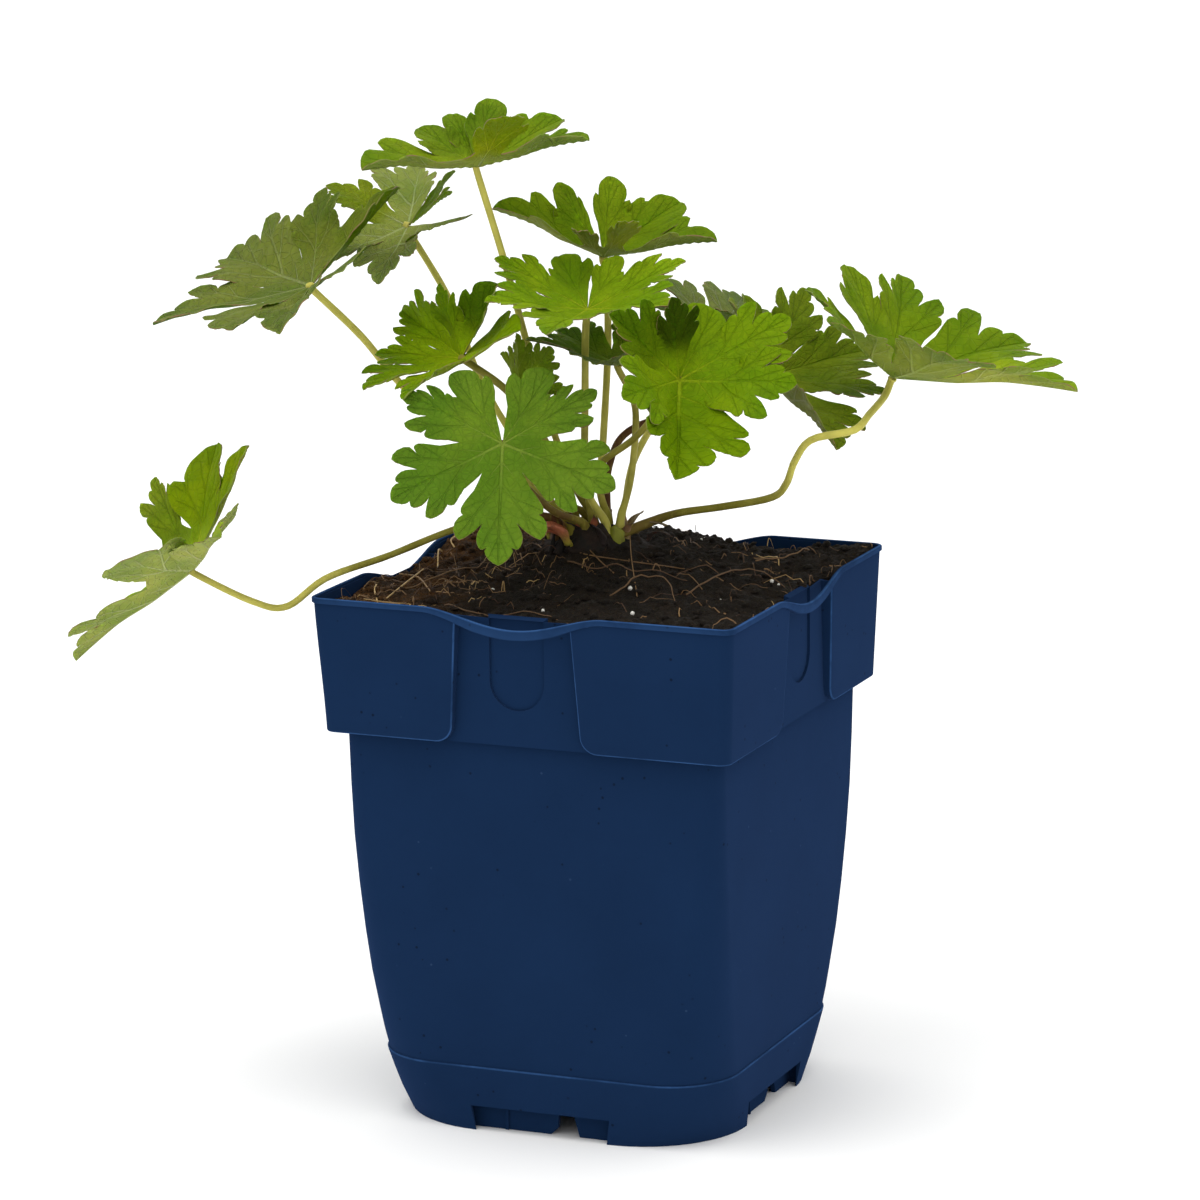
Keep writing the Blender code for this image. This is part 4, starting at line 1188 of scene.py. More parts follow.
def compost_height(x, y):
    """Height of the compost: a mound that is higher at the back, with a dip at the back edge."""
    spread = math.hypot(x - CROWN[0], y - CROWN[1])
    height = COMPOST_EDGE + COMPOST_MOUND * math.exp(-((spread / MOUND_SPREAD) ** 2))
    rise, start, reach = BACK_RISE
    height += rise * smooth_step((y - start) / reach)
    depth, middle, half, start, reach = BACK_DIP
    height -= depth * math.exp(-(((x - middle) / half) ** 4)) * smooth_step((y - start) / reach)
    rise, hill_x, hill_y, spread = LEFT_HILL
    height += rise * math.exp(-(((x - hill_x) ** 2 + (y - hill_y) ** 2) / spread**2))
    broad, small = LUMPS
    height += broad * math.sin(0.19 * x + 1.3) * math.cos(0.23 * y) + small * math.sin(0.41 * x - 0.37 * y)
    return height


def peat_relief(x, y):
    """Clods and crumbs on the compost's surface."""
    spot = Vector((x, y, 0))
    clods = noise.fractal(spot / CLOD_SIZE, 0.9, 2.2, 3) * CLOD_HEIGHT
    crumbs = abs(noise.noise(spot / CRUMB_SIZE)) * CRUMB_HEIGHT + noise.noise(spot) * GRIT_HEIGHT
    return clods + crumbs - RELIEF_SINK


def peat_surface(x, y):
    return compost_height(x, y) + peat_relief(x, y)


# Half width of the compost's top behind the panels and behind the set-back plates, and its corner's radius.
PEAT_HALF = 63.2
PEAT_RECESS_HALF = 59.9
PEAT_CORNER = 3.0
# Where the narrower stretch ends, from its middle, and over what distance it widens.
PEAT_RECESS_END = 19.0
PEAT_RECESS_BLEND = 2.5
PEAT_CELLS = 150
PEAT_GAP = 0.6
# How far crumbs, grains and strands are strewn.
CRUMB_REACH = 61
GRAIN_REACH = 58
STRAND_REACH = 60


def inside_pot(x, y):
    """Pulls a place that lies in the pot's wall back inside it."""
    for side in range(SIDES):
        turn = Matrix.Rotation(math.radians(90 * side), 2)
        along, out = Vector((x, y)) @ turn
        out = -out
        beside = abs(along - RECESS_MIDDLES[side]) - PEAT_RECESS_END
        limit = mix(PEAT_RECESS_HALF, PEAT_HALF, smooth_step(beside / PEAT_RECESS_BLEND))
        if out > limit:
            x, y = Vector((along, -limit)) @ turn.transposed()
    return round_corner(x, y, PEAT_HALF, PEAT_CORNER)


def peat_bed():
    """The compost as one solid: a cloddy top over a plug that fills the pot."""
    bm = bmesh.new()
    bmesh.ops.create_grid(bm, x_segments=PEAT_CELLS, y_segments=PEAT_CELLS, size=PEAT_HALF)
    for vert in bm.verts:
        x, y = inside_pot(vert.co.x, vert.co.y)
        vert.co = (x, y, peat_surface(x, y))
        vert.co.x -= splay(vert.co)
    # Rows down the plug's side: height, half width, corner radius.
    rows = [(COMPOST_FOOT + 1.2, PEAT_RECESS_HALF - PEAT_GAP, PEAT_CORNER)]
    rows.append((COMPOST_FOOT, SHOULDER_HALF - BASE_INSET, 3.7))
    rows += [(z, half - BASE_INSET, corner - BASE_INSET) for z, half, corner in reversed(BODY[SKIRT_ROWS:-1])]
    rows.append((FLOOR_UNDERSIDE + WALL + 0.3, 54.0 - BASE_INSET, 24.5))
    edges = [e for e in bm.edges if e.is_boundary]
    for z, half, corner in rows:
        made = bmesh.ops.extrude_edge_only(bm, edges=edges)["geom"]
        edges = [item for item in made if isinstance(item, bmesh.types.BMEdge)]
        for vert in {v for e in edges for v in e.verts}:
            largest = max(abs(vert.co.x), abs(vert.co.y))
            x, y = round_corner(vert.co.x * half / largest, vert.co.y * half / largest, half, corner)
            vert.co = (x, y, z)
    border = [e for e in edges if e.is_valid and e.is_boundary]
    bmesh.ops.contextual_create(bm, geom=border)
    bmesh.ops.recalc_face_normals(bm, faces=bm.faces)
    return bm


def add_crumbs(bm, count, rng):
    """Loose lumps of peat, pressed a little into the top."""
    form = bmesh.new()
    bmesh.ops.create_icosphere(form, subdivisions=1, radius=1.0)
    mesh = bpy.data.meshes.new("crumb_form")
    form.to_mesh(mesh)
    form.free()
    for _ in range(count):
        x, y = inside_pot(rng.uniform(-CRUMB_REACH, CRUMB_REACH), rng.uniform(-CRUMB_REACH, CRUMB_REACH))
        size = 0.35 + 1.5 * rng.random() ** 2.6
        verts = append_copy(bm, mesh)
        turn = Matrix.Rotation(rng.uniform(0, math.tau), 3, Vector((rng.random(), rng.random(), 1)))
        centre = Vector((x, y, peat_surface(x, y) + size * 0.25))
        stretch = Vector((rng.uniform(0.7, 1.3), rng.uniform(0.7, 1.3), rng.uniform(0.5, 0.9)))
        for vert in verts:
            place = Vector(a * b for a, b in zip(turn @ vert.co, stretch))
            vert.co = centre + place * size * rng.uniform(0.8, 1.15)
    bpy.data.meshes.remove(mesh)


# Perlite grains that show: place on the compost and radius. The rest are scattered.
GRAINS = ((-22, -33, 0.6), (-13, -11, 0.55), (18, -24, 0.7), (26, -42, 0.65), (50, 9, 0.6), (2, -52, 0.5))


def perlite_grains(count, rng):
    """White grains on the compost, each a lumpy ball."""
    bm = bmesh.new()
    spots = list(GRAINS)
    while len(spots) < count:
        x, y = (rng.uniform(-GRAIN_REACH, GRAIN_REACH) for _ in range(2))
        spots.append((x, y, rng.uniform(0.2, 0.42)))
    for x, y, size in spots:
        made = bmesh.ops.create_icosphere(bm, subdivisions=2, radius=size)["verts"]
        for vert in made:
            vert.co *= 1 + 0.35 * noise.noise(vert.co * 2.2 / size + Vector((x, y, 0)))
        height = peat_surface(x, y) + size * 0.45
        bmesh.ops.translate(bm, vec=(x, y, height), verts=made)
    return bm


RICH_DARK = (0.026, 0.0155, 0.0085)
RICH_BROWN = (0.13, 0.053, 0.010)
HOLLOW_SHADE = (0.004, 0.003, 0.002)
SPECK_TAN = (0.16, 0.10, 0.05)
PERLITE_WHITE = (0.74, 0.72, 0.66, 1.0)
# Where the browner compost at the left ends, in metres from the pot's middle.
BROWN_FROM, BROWN_TO = -0.055, -0.012


def peat_material(settings):
    """Moist peat in dark and brown patches, with painted shade in its hollows and tan specks."""
    mat, tree, shader, place = new_material("compost_peat", 0.93, Specular_IOR_Level=0.25)
    patches = noise_node(tree, place, 130.0, 6.0, 0.7)
    fine = noise_node(tree, place, 900.0, 5.0, 0.65)
    across = add_node(tree, "ShaderNodeSeparateXYZ", {0: place}).outputs[0]
    brown_side = ranged(tree, across, POT_CENTRE.x + BROWN_FROM, POT_CENTRE.x + BROWN_TO, 1.0, 0.0)
    rich = colour_mix(tree, brown_side, RICH_DARK, RICH_BROWN)
    share = ranged(tree, patches, 0.42, 0.68)
    share = math_node(tree, "ADD", share, times(tree, brown_side, 0.3))
    warm = colour_mix(tree, share, (*settings.peat, 1.0), rich)
    # Painted shade: near black where the fine bump is lowest, in the hollows.
    dark = colour_mix(tree, ranged(tree, fine, 0.45, 0.30), warm, HOLLOW_SHADE)
    bright = ranged(tree, noise_node(tree, place, 1700.0, 3.0, 0.6), 0.62, 0.72)
    colour = colour_mix(tree, times(tree, bright, 0.45), dark, SPECK_TAN)
    rough = ranged(tree, fine, 0.3, 0.7, 0.80, 1.0)
    lumps = bump(tree, noise_node(tree, place, 450.0, 6.0, 0.7), 1.0, 0.0018)
    dress(tree, shader, colour, bump(tree, fine, 0.9, 0.0005, lumps), rough)
    return mat


def perlite_material():
    mat, tree, shader, place = new_material("perlite", 0.85)
    rough_skin = bump(tree, noise_node(tree, place, 1400.0, 4.0), 0.6, 0.0003)
    dress(tree, shader, mottled(tree, PERLITE_WHITE, place, 900.0, 0.15), rough_skin)
    return mat


class PLANT_OT_compost(Operator):
    """Fills the pot with cloddy peat, loose crumbs and white perlite grains"""

    bl_idname = "plant.compost"
    bl_label = "Compost"

    def execute(self, context):
        settings = context.scene.plant_compost
        rng = random.Random(11)
        bed = peat_bed()
        add_crumbs(bed, settings.crumbs, rng)
        finish_piece("compost_bed", bed, [peat_material(settings)], ["compost"], smooth=60)
        grains = perlite_grains(settings.perlite, rng)
        finish_piece("perlite_grains", grains, [perlite_material()], smooth=60)
        return {"FINISHED"}


# ---------------------------------------------------------------- fibres and root threads


STRAW_DARK = (0.050, 0.022, 0.011)
STRAW_GOLD = (0.50, 0.33, 0.13)


def straw_material(settings):
    """Straw and root, each strand a little different in tone."""
    mat, tree, shader, place = new_material("root_straw", 0.6, Specular_IOR_Level=0.35)
    tone = marked(tree, "tone")
    pale = colour_mix(tree, tone, STRAW_DARK, (*settings.fibre, 1.0))
    pale = colour_mix(tree, ranged(tree, tone, 0.80, 1.0), pale, STRAW_GOLD)
    grain = bump(tree, noise_node(tree, place, 1800.0, 3.0), 0.4, 0.0002)
    dress(tree, shader, mottled(tree, pale, place, 500.0, 0.25), grain)
    return mat


def lay_strand(bm, form, route, radii, tone, squash=1.0):
    """Adds a strand of one tone along a route."""
    layer = bm.verts.layers.float["tone"]
    verts = append_copy(bm, form)
    set_along(verts, route, radii, squash)
    for vert in verts:
        vert[layer] = tone


def lying_route(x, y, bearing, length, bend, lift, count):
    """A strand that starts at a place on the compost and wanders over it."""
    heading = bearing
    points = []
    for i in range(count):
        share = i / (count - 1)
        x, y = inside_pot(x, y)
        arch = lift * math.sin(math.pi * share)
        points.append(Vector((x, y, peat_surface(x, y) + 0.15 + arch)))
        heading += bend / count
        x += math.sin(heading) * length / count
        y -= math.cos(heading) * length / count
    return points


FIBRE_RINGS = 7
# Long golden straws: corners of their routes, x, y and height over the compost, then half width and tone.
LONG_STRAWS = (
    (((-60, -32, 0.6), (-56.7, -40.7, 1.5), (-49.5, -53, 0.5)), 0.26, 1.0),
    (((-49.9, -47, 0.5), (-51.2, -31, 1.8), (-52.3, -15, 0.4)), 0.24, 0.95),
    (((-59.5, 15, 0.6), (-56.4, 5.5, 2.0), (-51.9, -5.4, 0.5)), 0.26, 1.0),
    (((-61, 29, 1.0), (-60, 23, 2.2), (-57.2, 19.4, 0.6)), 0.24, 0.95),
    (((-58, -20, 0.5), (-50, -24, 1.2), (-40, -38, 0.4)), 0.22, 0.85),
    (((-57, -48, 0.5), (-46, -50, 1.5), (-34, -47, 0.4)), 0.24, 0.9),
    (((-3, -5, 1.0), (3, -11, 1.6), (10, -17, 0.4)), 0.20, 0.5),
    (((6, 6, 3.5), (12, -8, 2.4), (21, -26, 0.4)), 0.18, 0.7),
    (((-8.5, -4, 1.0), (1.8, -9.5, 1.2), (25.6, 0.5, 0.6)), 0.20, 0.45),
)
THREAD_RADIUS = 0.24
THREAD_POINTS = 26
THREAD_WAVE = 0.35
THREAD_SWAY = 0.7
THREAD_LIFT = 0.35
# Patches where more strands show: x, y, spread, share of the strands.
FIBRE_PATCHES = (
    (-46, -36, 14, 0.24),
    (-30, -20, 14, 0.12),
    (-12, -18, 10, 0.08),
    (40, 20, 16, 0.12),
    (0, 0, 44, 1.0),
)
# Share of the strands whose ends stick up.
STANDING_SHARE = 0.08


def fibre_strands(count, rng):
    """Short strands strewn over the compost, more of them in patches, and the long straws."""
    bm = bmesh.new()
    bm.verts.layers.float.new("tone")
    form = tube_template(4, FIBRE_RINGS)
    for _ in range(count):
        choice = rng.random()
        for x0, y0, spread, share in FIBRE_PATCHES:
            choice -= share
            if choice < 0:
                break
        x = max(-STRAND_REACH, min(STRAND_REACH, rng.gauss(x0, spread)))
        y = max(-STRAND_REACH, min(STRAND_REACH, rng.gauss(y0, spread)))
        length = 2.5 + 15 * rng.random() ** 2
        lift = rng.random() ** 4 * 3.5
        route = lying_route(x, y, rng.uniform(0, math.tau), length, rng.gauss(0, 1.1), lift, FIBRE_RINGS)
        if rng.random() < STANDING_SHARE:
            route[-1].z += rng.uniform(1, 4)
            route[-2].z += rng.uniform(0.5, 2)
        width = rng.uniform(0.09, 0.24)
        radii = [width * (1 - 0.5 * i / (FIBRE_RINGS - 1)) for i in range(FIBRE_RINGS)]
        tone = rng.random() ** 1.4
        lay_strand(bm, form, route, radii, tone, rng.uniform(0.4, 1.0))
    for corners, width, tone in LONG_STRAWS:
        places = [Vector((x, y, peat_surface(x, y) + height)) for x, y, height in corners]
        lay_strand(bm, form, smooth_route(places, FIBRE_RINGS), [width] * FIBRE_RINGS, tone)
    bpy.data.meshes.remove(form)
    return bm


def thread_route(row):
    """Route of a root thread over the compost, a little wavy and arched at its middle."""
    corners, arch = row
    flat = smooth_route([Vector((x, y, 0)) for x, y in corners], THREAD_POINTS)
    points = []
    for i, point in enumerate(flat):
        wave = i * THREAD_WAVE
        sideways = noise.noise(Vector((wave, point.x, 0))), noise.noise(Vector((wave, 0, point.y)))
        sway = Vector(sideways) * THREAD_SWAY
        x, y = point.x + sway.x, point.y + sway.y
        height = peat_surface(x, y) + THREAD_LIFT + arch * math.sin(math.pi * i / (THREAD_POINTS - 1))
        points.append(Vector((x, y, height)))
    smoothed = [points[0]]
    for before, here, after in zip(points, points[1:], points[2:]):
        smoothed.append((before + here * 2 + after) / 4)
    return [*smoothed, points[-1]]


class PLANT_OT_fibres(Operator):
    """Scatters straw and lays the long root threads over the compost"""

    bl_idname = "plant.fibres"
    bl_label = "Straw and root threads"

    def execute(self, context):
        settings = context.scene.plant_compost
        mat = straw_material(settings)
        strands = fibre_strands(settings.fibres, random.Random(5))
        finish_piece("straw_bits", strands, [mat], smooth=60)
        form = tube_template(8, THREAD_POINTS)
        radii = [THREAD_RADIUS * (1.15 - 0.6 * i / THREAD_POINTS) for i in range(THREAD_POINTS)]
        for number, row in enumerate(THREADS, 1):
            bm = bmesh.new()
            bm.verts.layers.float.new("tone")
            lay_strand(bm, form, thread_route(row), radii, 0.12 + 0.05 * number)
            nodes = [f"root_thread_{number}"]
            finish_piece(f"root_strand_{number}", bm, [mat], nodes, smooth=60)
        bpy.data.meshes.remove(form)
        return {"FINISHED"}


# ---------------------------------------------------------------- crown


CROWN_TURN = 20


def crown_point(along, across):
    """Place on the rootstock, which lies along a line turned a little from the pot's front."""
    turn = math.radians(CROWN_TURN)
    x = CROWN[0] + along * math.cos(turn) - across * math.sin(turn)
    y = CROWN[1] + along * math.sin(turn) + across * math.cos(turn)
    return x, y


BARK_BLACK = (0.006, 0.005, 0.004)
BARK_BROWN = (0.024, 0.014, 0.009)


def bark_material():
    mat, tree, shader, place = new_material("rootstock_bark", 0.85, Specular_IOR_Level=0.3)
    patches = noise_node(tree, place, 220.0, 6.0, 0.7)
    colour = colour_mix(tree, ranged(tree, patches, 0.35, 0.65), BARK_BLACK, BARK_BROWN)
    cracks = bump(tree, noise_node(tree, place, 700.0, 6.0, 0.7), 0.9, 0.0008)
    dress(tree, shader, colour, cracks, ranged(tree, patches, 0.3, 0.7, 0.75, 0.95))
    return mat


# Lumps on the rootstock: place on it, width, depth, height.
CRESTS = (
    (-4.0, -2.5, 7.0, 5.0, 2.5),
    (-2.5, -8.5, 5.5, 3.0, 5.2),
    (-9.5, -7.5, 3.5, 2.6, 2.4),
    (2.5, -9.0, 3.0, 2.4, 2.0),
)
# Half length and half width of the rootstock, and its depth over and under its widest line.
KNOB_HALF = (17.0, 11.0)
KNOB_DEPTHS = (7.5, 27.0)
# How far that line lies under CROWN_TOP.
KNOB_SINK = 6.5
# Roughness of its surface, coarse to fine: share of its size, and scale.
KNOB_ROUGHNESS = ((0.16, 2.3), (0.10, 6.0), (0.05, 17), (0.035, 38))


def rootstock_knob():
    """The knobbly rootstock, of which only the top shows, with lumps and stumps."""
    bm = bmesh.new()
    bmesh.ops.create_icosphere(bm, subdivisions=5, radius=1.0)
    for vert in bm.verts:
        out = vert.co.copy()
        rough = 1 + sum(share * noise.noise(out * scale) for share, scale in KNOB_ROUGHNESS)
        depth = KNOB_DEPTHS[0] if out.z > 0 else KNOB_DEPTHS[1]
        along, across = out.x * KNOB_HALF[0] * rough, out.y * KNOB_HALF[1] * rough
        x, y = crown_point(along, across)
        crest = 0.0
        for a, b, wide, deep, rise in CRESTS:
            crest += rise * math.exp(-(((along - a) / wide) ** 2 + ((across - b) / deep) ** 2))
        crest = crest * (1 + 0.5 * noise.noise(out * 9.0)) if out.z > 0 else 0.0
        vert.co = (x, y, CROWN_TOP - KNOB_SINK + out.z * depth * rough + crest)
    rng = random.Random(31)
    form = tube_template(9, 6)
    for _ in range(STUMPS):
        along, across = rng.uniform(-14, 9), rng.uniform(-9, 5)
        radius = rng.uniform(0.6, 1.7)
        length = rng.uniform(3.0, 7.5)
        taper = rng.uniform(0.25, 0.8)
        tilt = rng.uniform(0.1, 1.1)
        axis = Vector((rng.gauss(0, 1), rng.gauss(0, 1), 0.01)).normalized()
        turn = Matrix.Rotation(tilt, 3, axis)
        foot = Vector((*crown_point(along, across), CROWN_TOP - 2.0 - abs(across) * 0.25))
        for vert in append_copy(bm, form):
            share = vert.co.z
            knot = radius * mix(1.0, taper, share) * (1 + 0.5 * noise.noise(vert.co * 1.5 + foot))
            vert.co = foot + turn @ Vector((vert.co.x * knot, vert.co.y * knot, share * length))
    bpy.data.meshes.remove(form)
    return bm


def scale_sheet(foot, bearing, lean, length, width, curl, dryness, rng):
    """One papery pointed scale, a trough that clasps its foot and leans outwards."""
    bm = bmesh.new()
    along = bm.verts.layers.float.new("along")
    dry = bm.verts.layers.float.new("dry")
    bmesh.ops.create_grid(bm, x_segments=8, y_segments=14, size=1.0)
    out = Vector((math.sin(math.radians(bearing)), -math.cos(math.radians(bearing)), 0))
    side = UP.cross(out)
    twist = rng.uniform(-0.14, 0.14)
    seed = rng.uniform(0, 50)
    for vert in bm.verts:
        across, share = vert.co.x, (vert.co.y + 1) / 2
        half = width * 0.5 * (0.72 + 0.55 * share) * (1 - share**2.2) ** 0.9 + 0.06
        half *= 1 + 0.3 * noise.noise(Vector((across * 1.4 + seed, share * 4, seed)))
        tilt = math.radians(lean * (0.35 + 0.65 * share) + curl * share**2)
        axis = out * math.sin(tilt) + UP * math.cos(tilt)
        facing = out * math.cos(tilt) - UP * math.sin(tilt)
        roll = across * math.radians(70)
        crease = 0.35 * noise.noise(Vector((across * 3 + seed, share * 2.5, 0)))
        reach = share * length * (1 - 0.1 * abs(across))
        cup = facing * ((math.cos(roll) - 1) * half + crease) + side * (math.sin(roll) * half)
        vert[along] = share
        vert[dry] = dryness
        vert.co = foot + axis * reach + cup + side * (twist * length * share**2)
    return bm


SCALE_FOOT = (0.30, 0.27, 0.03)
SCALE_RED = (0.42, 0.13, 0.06)
SCALE_TIP = (0.07, 0.032, 0.022)
SCALE_TAN = (0.24, 0.18, 0.085)
SCALE_BLACK = (0.022, 0.014, 0.012)
SCALE_GREEN = (0.20, 0.215, 0.014)
SCALE_STREAK = (0.10, 0.045, 0.03)
SCALE_THICKNESS = 0.5
HUSK_THICKNESS = 0.35


def scale_material():
    """Papery red-brown scale, paler at its foot, tan or nearly black where dry, green where fresh."""
    mat, tree, shader, place = new_material(
        "bract_red", 0.6, Specular_IOR_Level=0.35, **translucent(0.15, (0.0012, 0.0006, 0.0003))
    )
    along = marked(tree, "along")
    body = colour_mix(tree, ranged(tree, along, 0.0, 0.45), SCALE_FOOT, SCALE_RED)
    body = colour_mix(tree, ranged(tree, along, 0.72, 1.0), body, SCALE_TIP)
    dry = marked(tree, "dry")
    body = colour_mix(tree, ranged(tree, dry, 0.15, 0.45), body, SCALE_TAN)
    body = colour_mix(tree, ranged(tree, dry, 0.50, 0.95), body, SCALE_BLACK)
    body = colour_mix(tree, ranged(tree, dry, -0.9, -0.1, 1.0, 0.0), body, SCALE_GREEN)
    streaks = vector_node(tree, "MULTIPLY", place, (1.0, 1.0, 0.12))
    grain = noise_node(tree, streaks, 1100.0, 4.0, 0.6)
    colour = colour_mix(tree, ranged(tree, grain, 0.5, 0.75, 0.0, 0.6), body, SCALE_STREAK)
    dress(tree, shader, mottled(tree, colour, place, 300.0, 0.25), bump(tree, grain, 0.7, 0.0004))
    return mat


class PLANT_OT_crown(Operator):
    """Grows the rootstock and the dry scales round the feet of the stalks"""

    bl_idname = "plant.crown"
    bl_label = "Rootstock and scales"

    def execute(self, context):
        rng = random.Random(23)
        knob = rootstock_knob()
        finish_piece("rootstock_knob", knob, [bark_material()], ["rootstock"], smooth=60)
        mat = scale_material()
        for number, row in enumerate(SCALES, 1):
            (along, across), *shape = row
            foot = Vector((*crown_point(along, across), CROWN_TOP - 1.5))
            sheet = scale_sheet(foot, *shape, rng)
            nodes = [f"bract_{number}"]
            obj = finish_piece(f"crown_scale_{number}", sheet, [mat], nodes, smooth=80)
            thicken(obj, SCALE_THICKNESS * MM, 0.0, even=False)
            apply_modifiers(obj)
        litter = bmesh.new()
        litter.verts.layers.float.new("along")
        litter.verts.layers.float.new("dry")
        for (along, across), *shape in HUSKS:
            foot = Vector((*crown_point(along, across), CROWN_TOP - 2.0))
            join_meshes(litter, scale_sheet(foot, *shape, rng), HUSK_THICKNESS, 0.0, even=False)
        finish_piece("crown_husks", litter, [mat], smooth=80)
        return {"FINISHED"}


# ---------------------------------------------------------------- leaves

# Edge of half a lobe as rounded runs between its notches, from the cleft out: lobe lengths along and across.
EDGE_RUNS = (
    ((0.43, 0.235), (0.52, 0.300), (0.580, 0.340), (0.617, 0.337), (0.630, 0.318)),
    ((0.655, 0.325), (0.700, 0.352), (0.758, 0.360), (0.808, 0.343), (0.834, 0.312), (0.815, 0.270),
     (0.765, 0.202)),
    ((0.735, 0.156), (0.795, 0.182), (0.850, 0.177), (0.884, 0.157), (0.890, 0.133)),
    ((0.900, 0.110), (0.945, 0.092), (0.978, 0.054), (0.994, 0.020)),
)
# Notches between the runs.
NOTCHES = ((0.632, 0.296), (0.690, 0.132), (0.876, 0.104))
# The same for lobes with a broad round end and one side tooth.
ROUND_RUNS = (
    ((0.38, 0.21), (0.50, 0.325), (0.60, 0.39), (0.69, 0.405), (0.745, 0.365)),
    ((0.755, 0.275), (0.82, 0.285), (0.90, 0.235), (0.96, 0.145), (0.993, 0.045)),
)
ROUND_NOTCHES = ((0.725, 0.285),)
# Half lobes from this one outwards are round, as are some leaves and some single lobes. One lobe is toothed
# wherever it stands.
ROUND_FROM = 5
ROUND_LEAVES = ("upper_right", "top")
ROUND_LOBES = {"low_left": (0, 1, 4), "left": (4, 5, 6)}
TOOTHED_LOBE = ("right_front", 0)
RUN_STEPS = 7
# Widths of the half lobes, counted outwards from the middle lobe.
HALF_WIDTHS = (1.0, 1.0, 0.86, 0.86, 0.62, 0.55, 0.8)
# Clefts counted outwards from the middle lobe: radius in leaf lengths, angle in degrees.
CLEFTS = ((0.30, 31), (0.33, 89), (0.46, 134))
# Length of a usual leaf, to which the facets and the thickness of the stalks are set.
USUAL_LENGTH = 36.0
# How far the cuts into facets reach, in leaf lengths, and their shift, which keeps them off the ribs.
LEAF_REACH = 1.2
CUT_SHIFT = 0.37
# Shape of a lobe in its own lengths: arch along the rib, rise of the halves, swelling between ribs and its
# width, and waves along the rib.
LOBE_ARCH = 0.10
LOBE_FOLD = 0.12
QUILT = 0.016
QUILT_WIDTH = 0.06
WAVE = 0.010
# Where the joined middle of the blade ends, and over what share of its length the lobes part.
WEB_RADIUS = 0.3
WEB_BLEND = 0.35
# Beside a cut the two lobes are blended over this angle and, past its foot, over this share of the length.
CLEFT_BLEND_ANGLE = 14
CLEFT_BLEND_REACH = 0.12
TOWARDS_NEIGHBOUR = 0.8


def leaf_axes(leaf):
    """Directions of a flat blade: along its middle lobe, across it, and out of its upper side."""
    bearing, height, turn = (math.radians(v) for v in (leaf.bearing, leaf.height, leaf.turn))
    out = Vector((math.sin(bearing), -math.cos(bearing), 0))
    normal = out * math.cos(height) + UP * math.sin(height)
    down = out * math.sin(height) - UP * math.cos(height)
    forward = down * math.cos(turn) + normal.cross(down) * math.sin(turn)
    return forward, normal.cross(forward), normal


def half_index(number, side):
    """Half lobes counted outwards from the middle lobe's, 0, to the one beside the open sinus, 6."""
    outward = side * (number - MIDDLE_LOBE)
    if number == MIDDLE_LOBE:
        return 0
    return 2 * abs(number - MIDDLE_LOBE) - (0 if outward > 0 else 1)


def half_width(leaf, number, side):
    """Width of half a lobe as a share of the fullest half lobe's."""
    spread = LOBE_SPREADS.get(leaf.name, {}).get(number, (1.0, 1.0))
    return HALF_WIDTHS[half_index(number, side)] * spread[side > 0]


def cleft_of(leaf, low):
    """Radius and angle of the cut between lobe low and the next one, deeper where one of the two is short."""
    radius, angle = CLEFTS[low - MIDDLE_LOBE if low >= MIDDLE_LOBE else MIDDLE_LOBE - 1 - low]
    reach = CLEFT_REACHES.get(leaf.name, {}).get(low, 1.0)
    radius *= min(1.0, leaf.stretch[low], leaf.stretch[low + 1]) * reach
    return radius, angle if low >= MIDDLE_LOBE else -angle


def flat_place(radius, angle):
    return Vector((radius * math.cos(math.radians(angle)), radius * math.sin(math.radians(angle)), 0))


def lobe_place(number, along, across):
    length = LOBE_LENGTHS[number]
    angle = LOBE_ANGLES[number] + math.degrees(math.atan2(across, along))
    return flat_place(length * math.hypot(along, across), angle)


def half_edge(rng, width, runs, notches):
    """Edge of half a lobe from the cleft to the tip, with small seeded differences from leaf to leaf."""
    points = []
    slide = rng.uniform(-0.03, 0.03)
    gape = rng.uniform(0.90, 1.05)
    for number, run in enumerate(runs):
        grow = width * (1 + rng.uniform(-0.07, 0.05)) * (gape if number == 0 else mix(gape, 1.0, 0.7))
        knots = [Vector((along + slide * (1 - along) * 2, across * grow, 0)) for along, across in run]
        points += smooth_route(knots, RUN_STEPS)
        if number < len(notches):
            along, across = notches[number]
            deep = rng.uniform(0.85, 1.0)
            points.append(Vector((along + slide * (1 - along) * 2, across * width * deep, 0)))
    return [(p.x, p.y) for p in points]


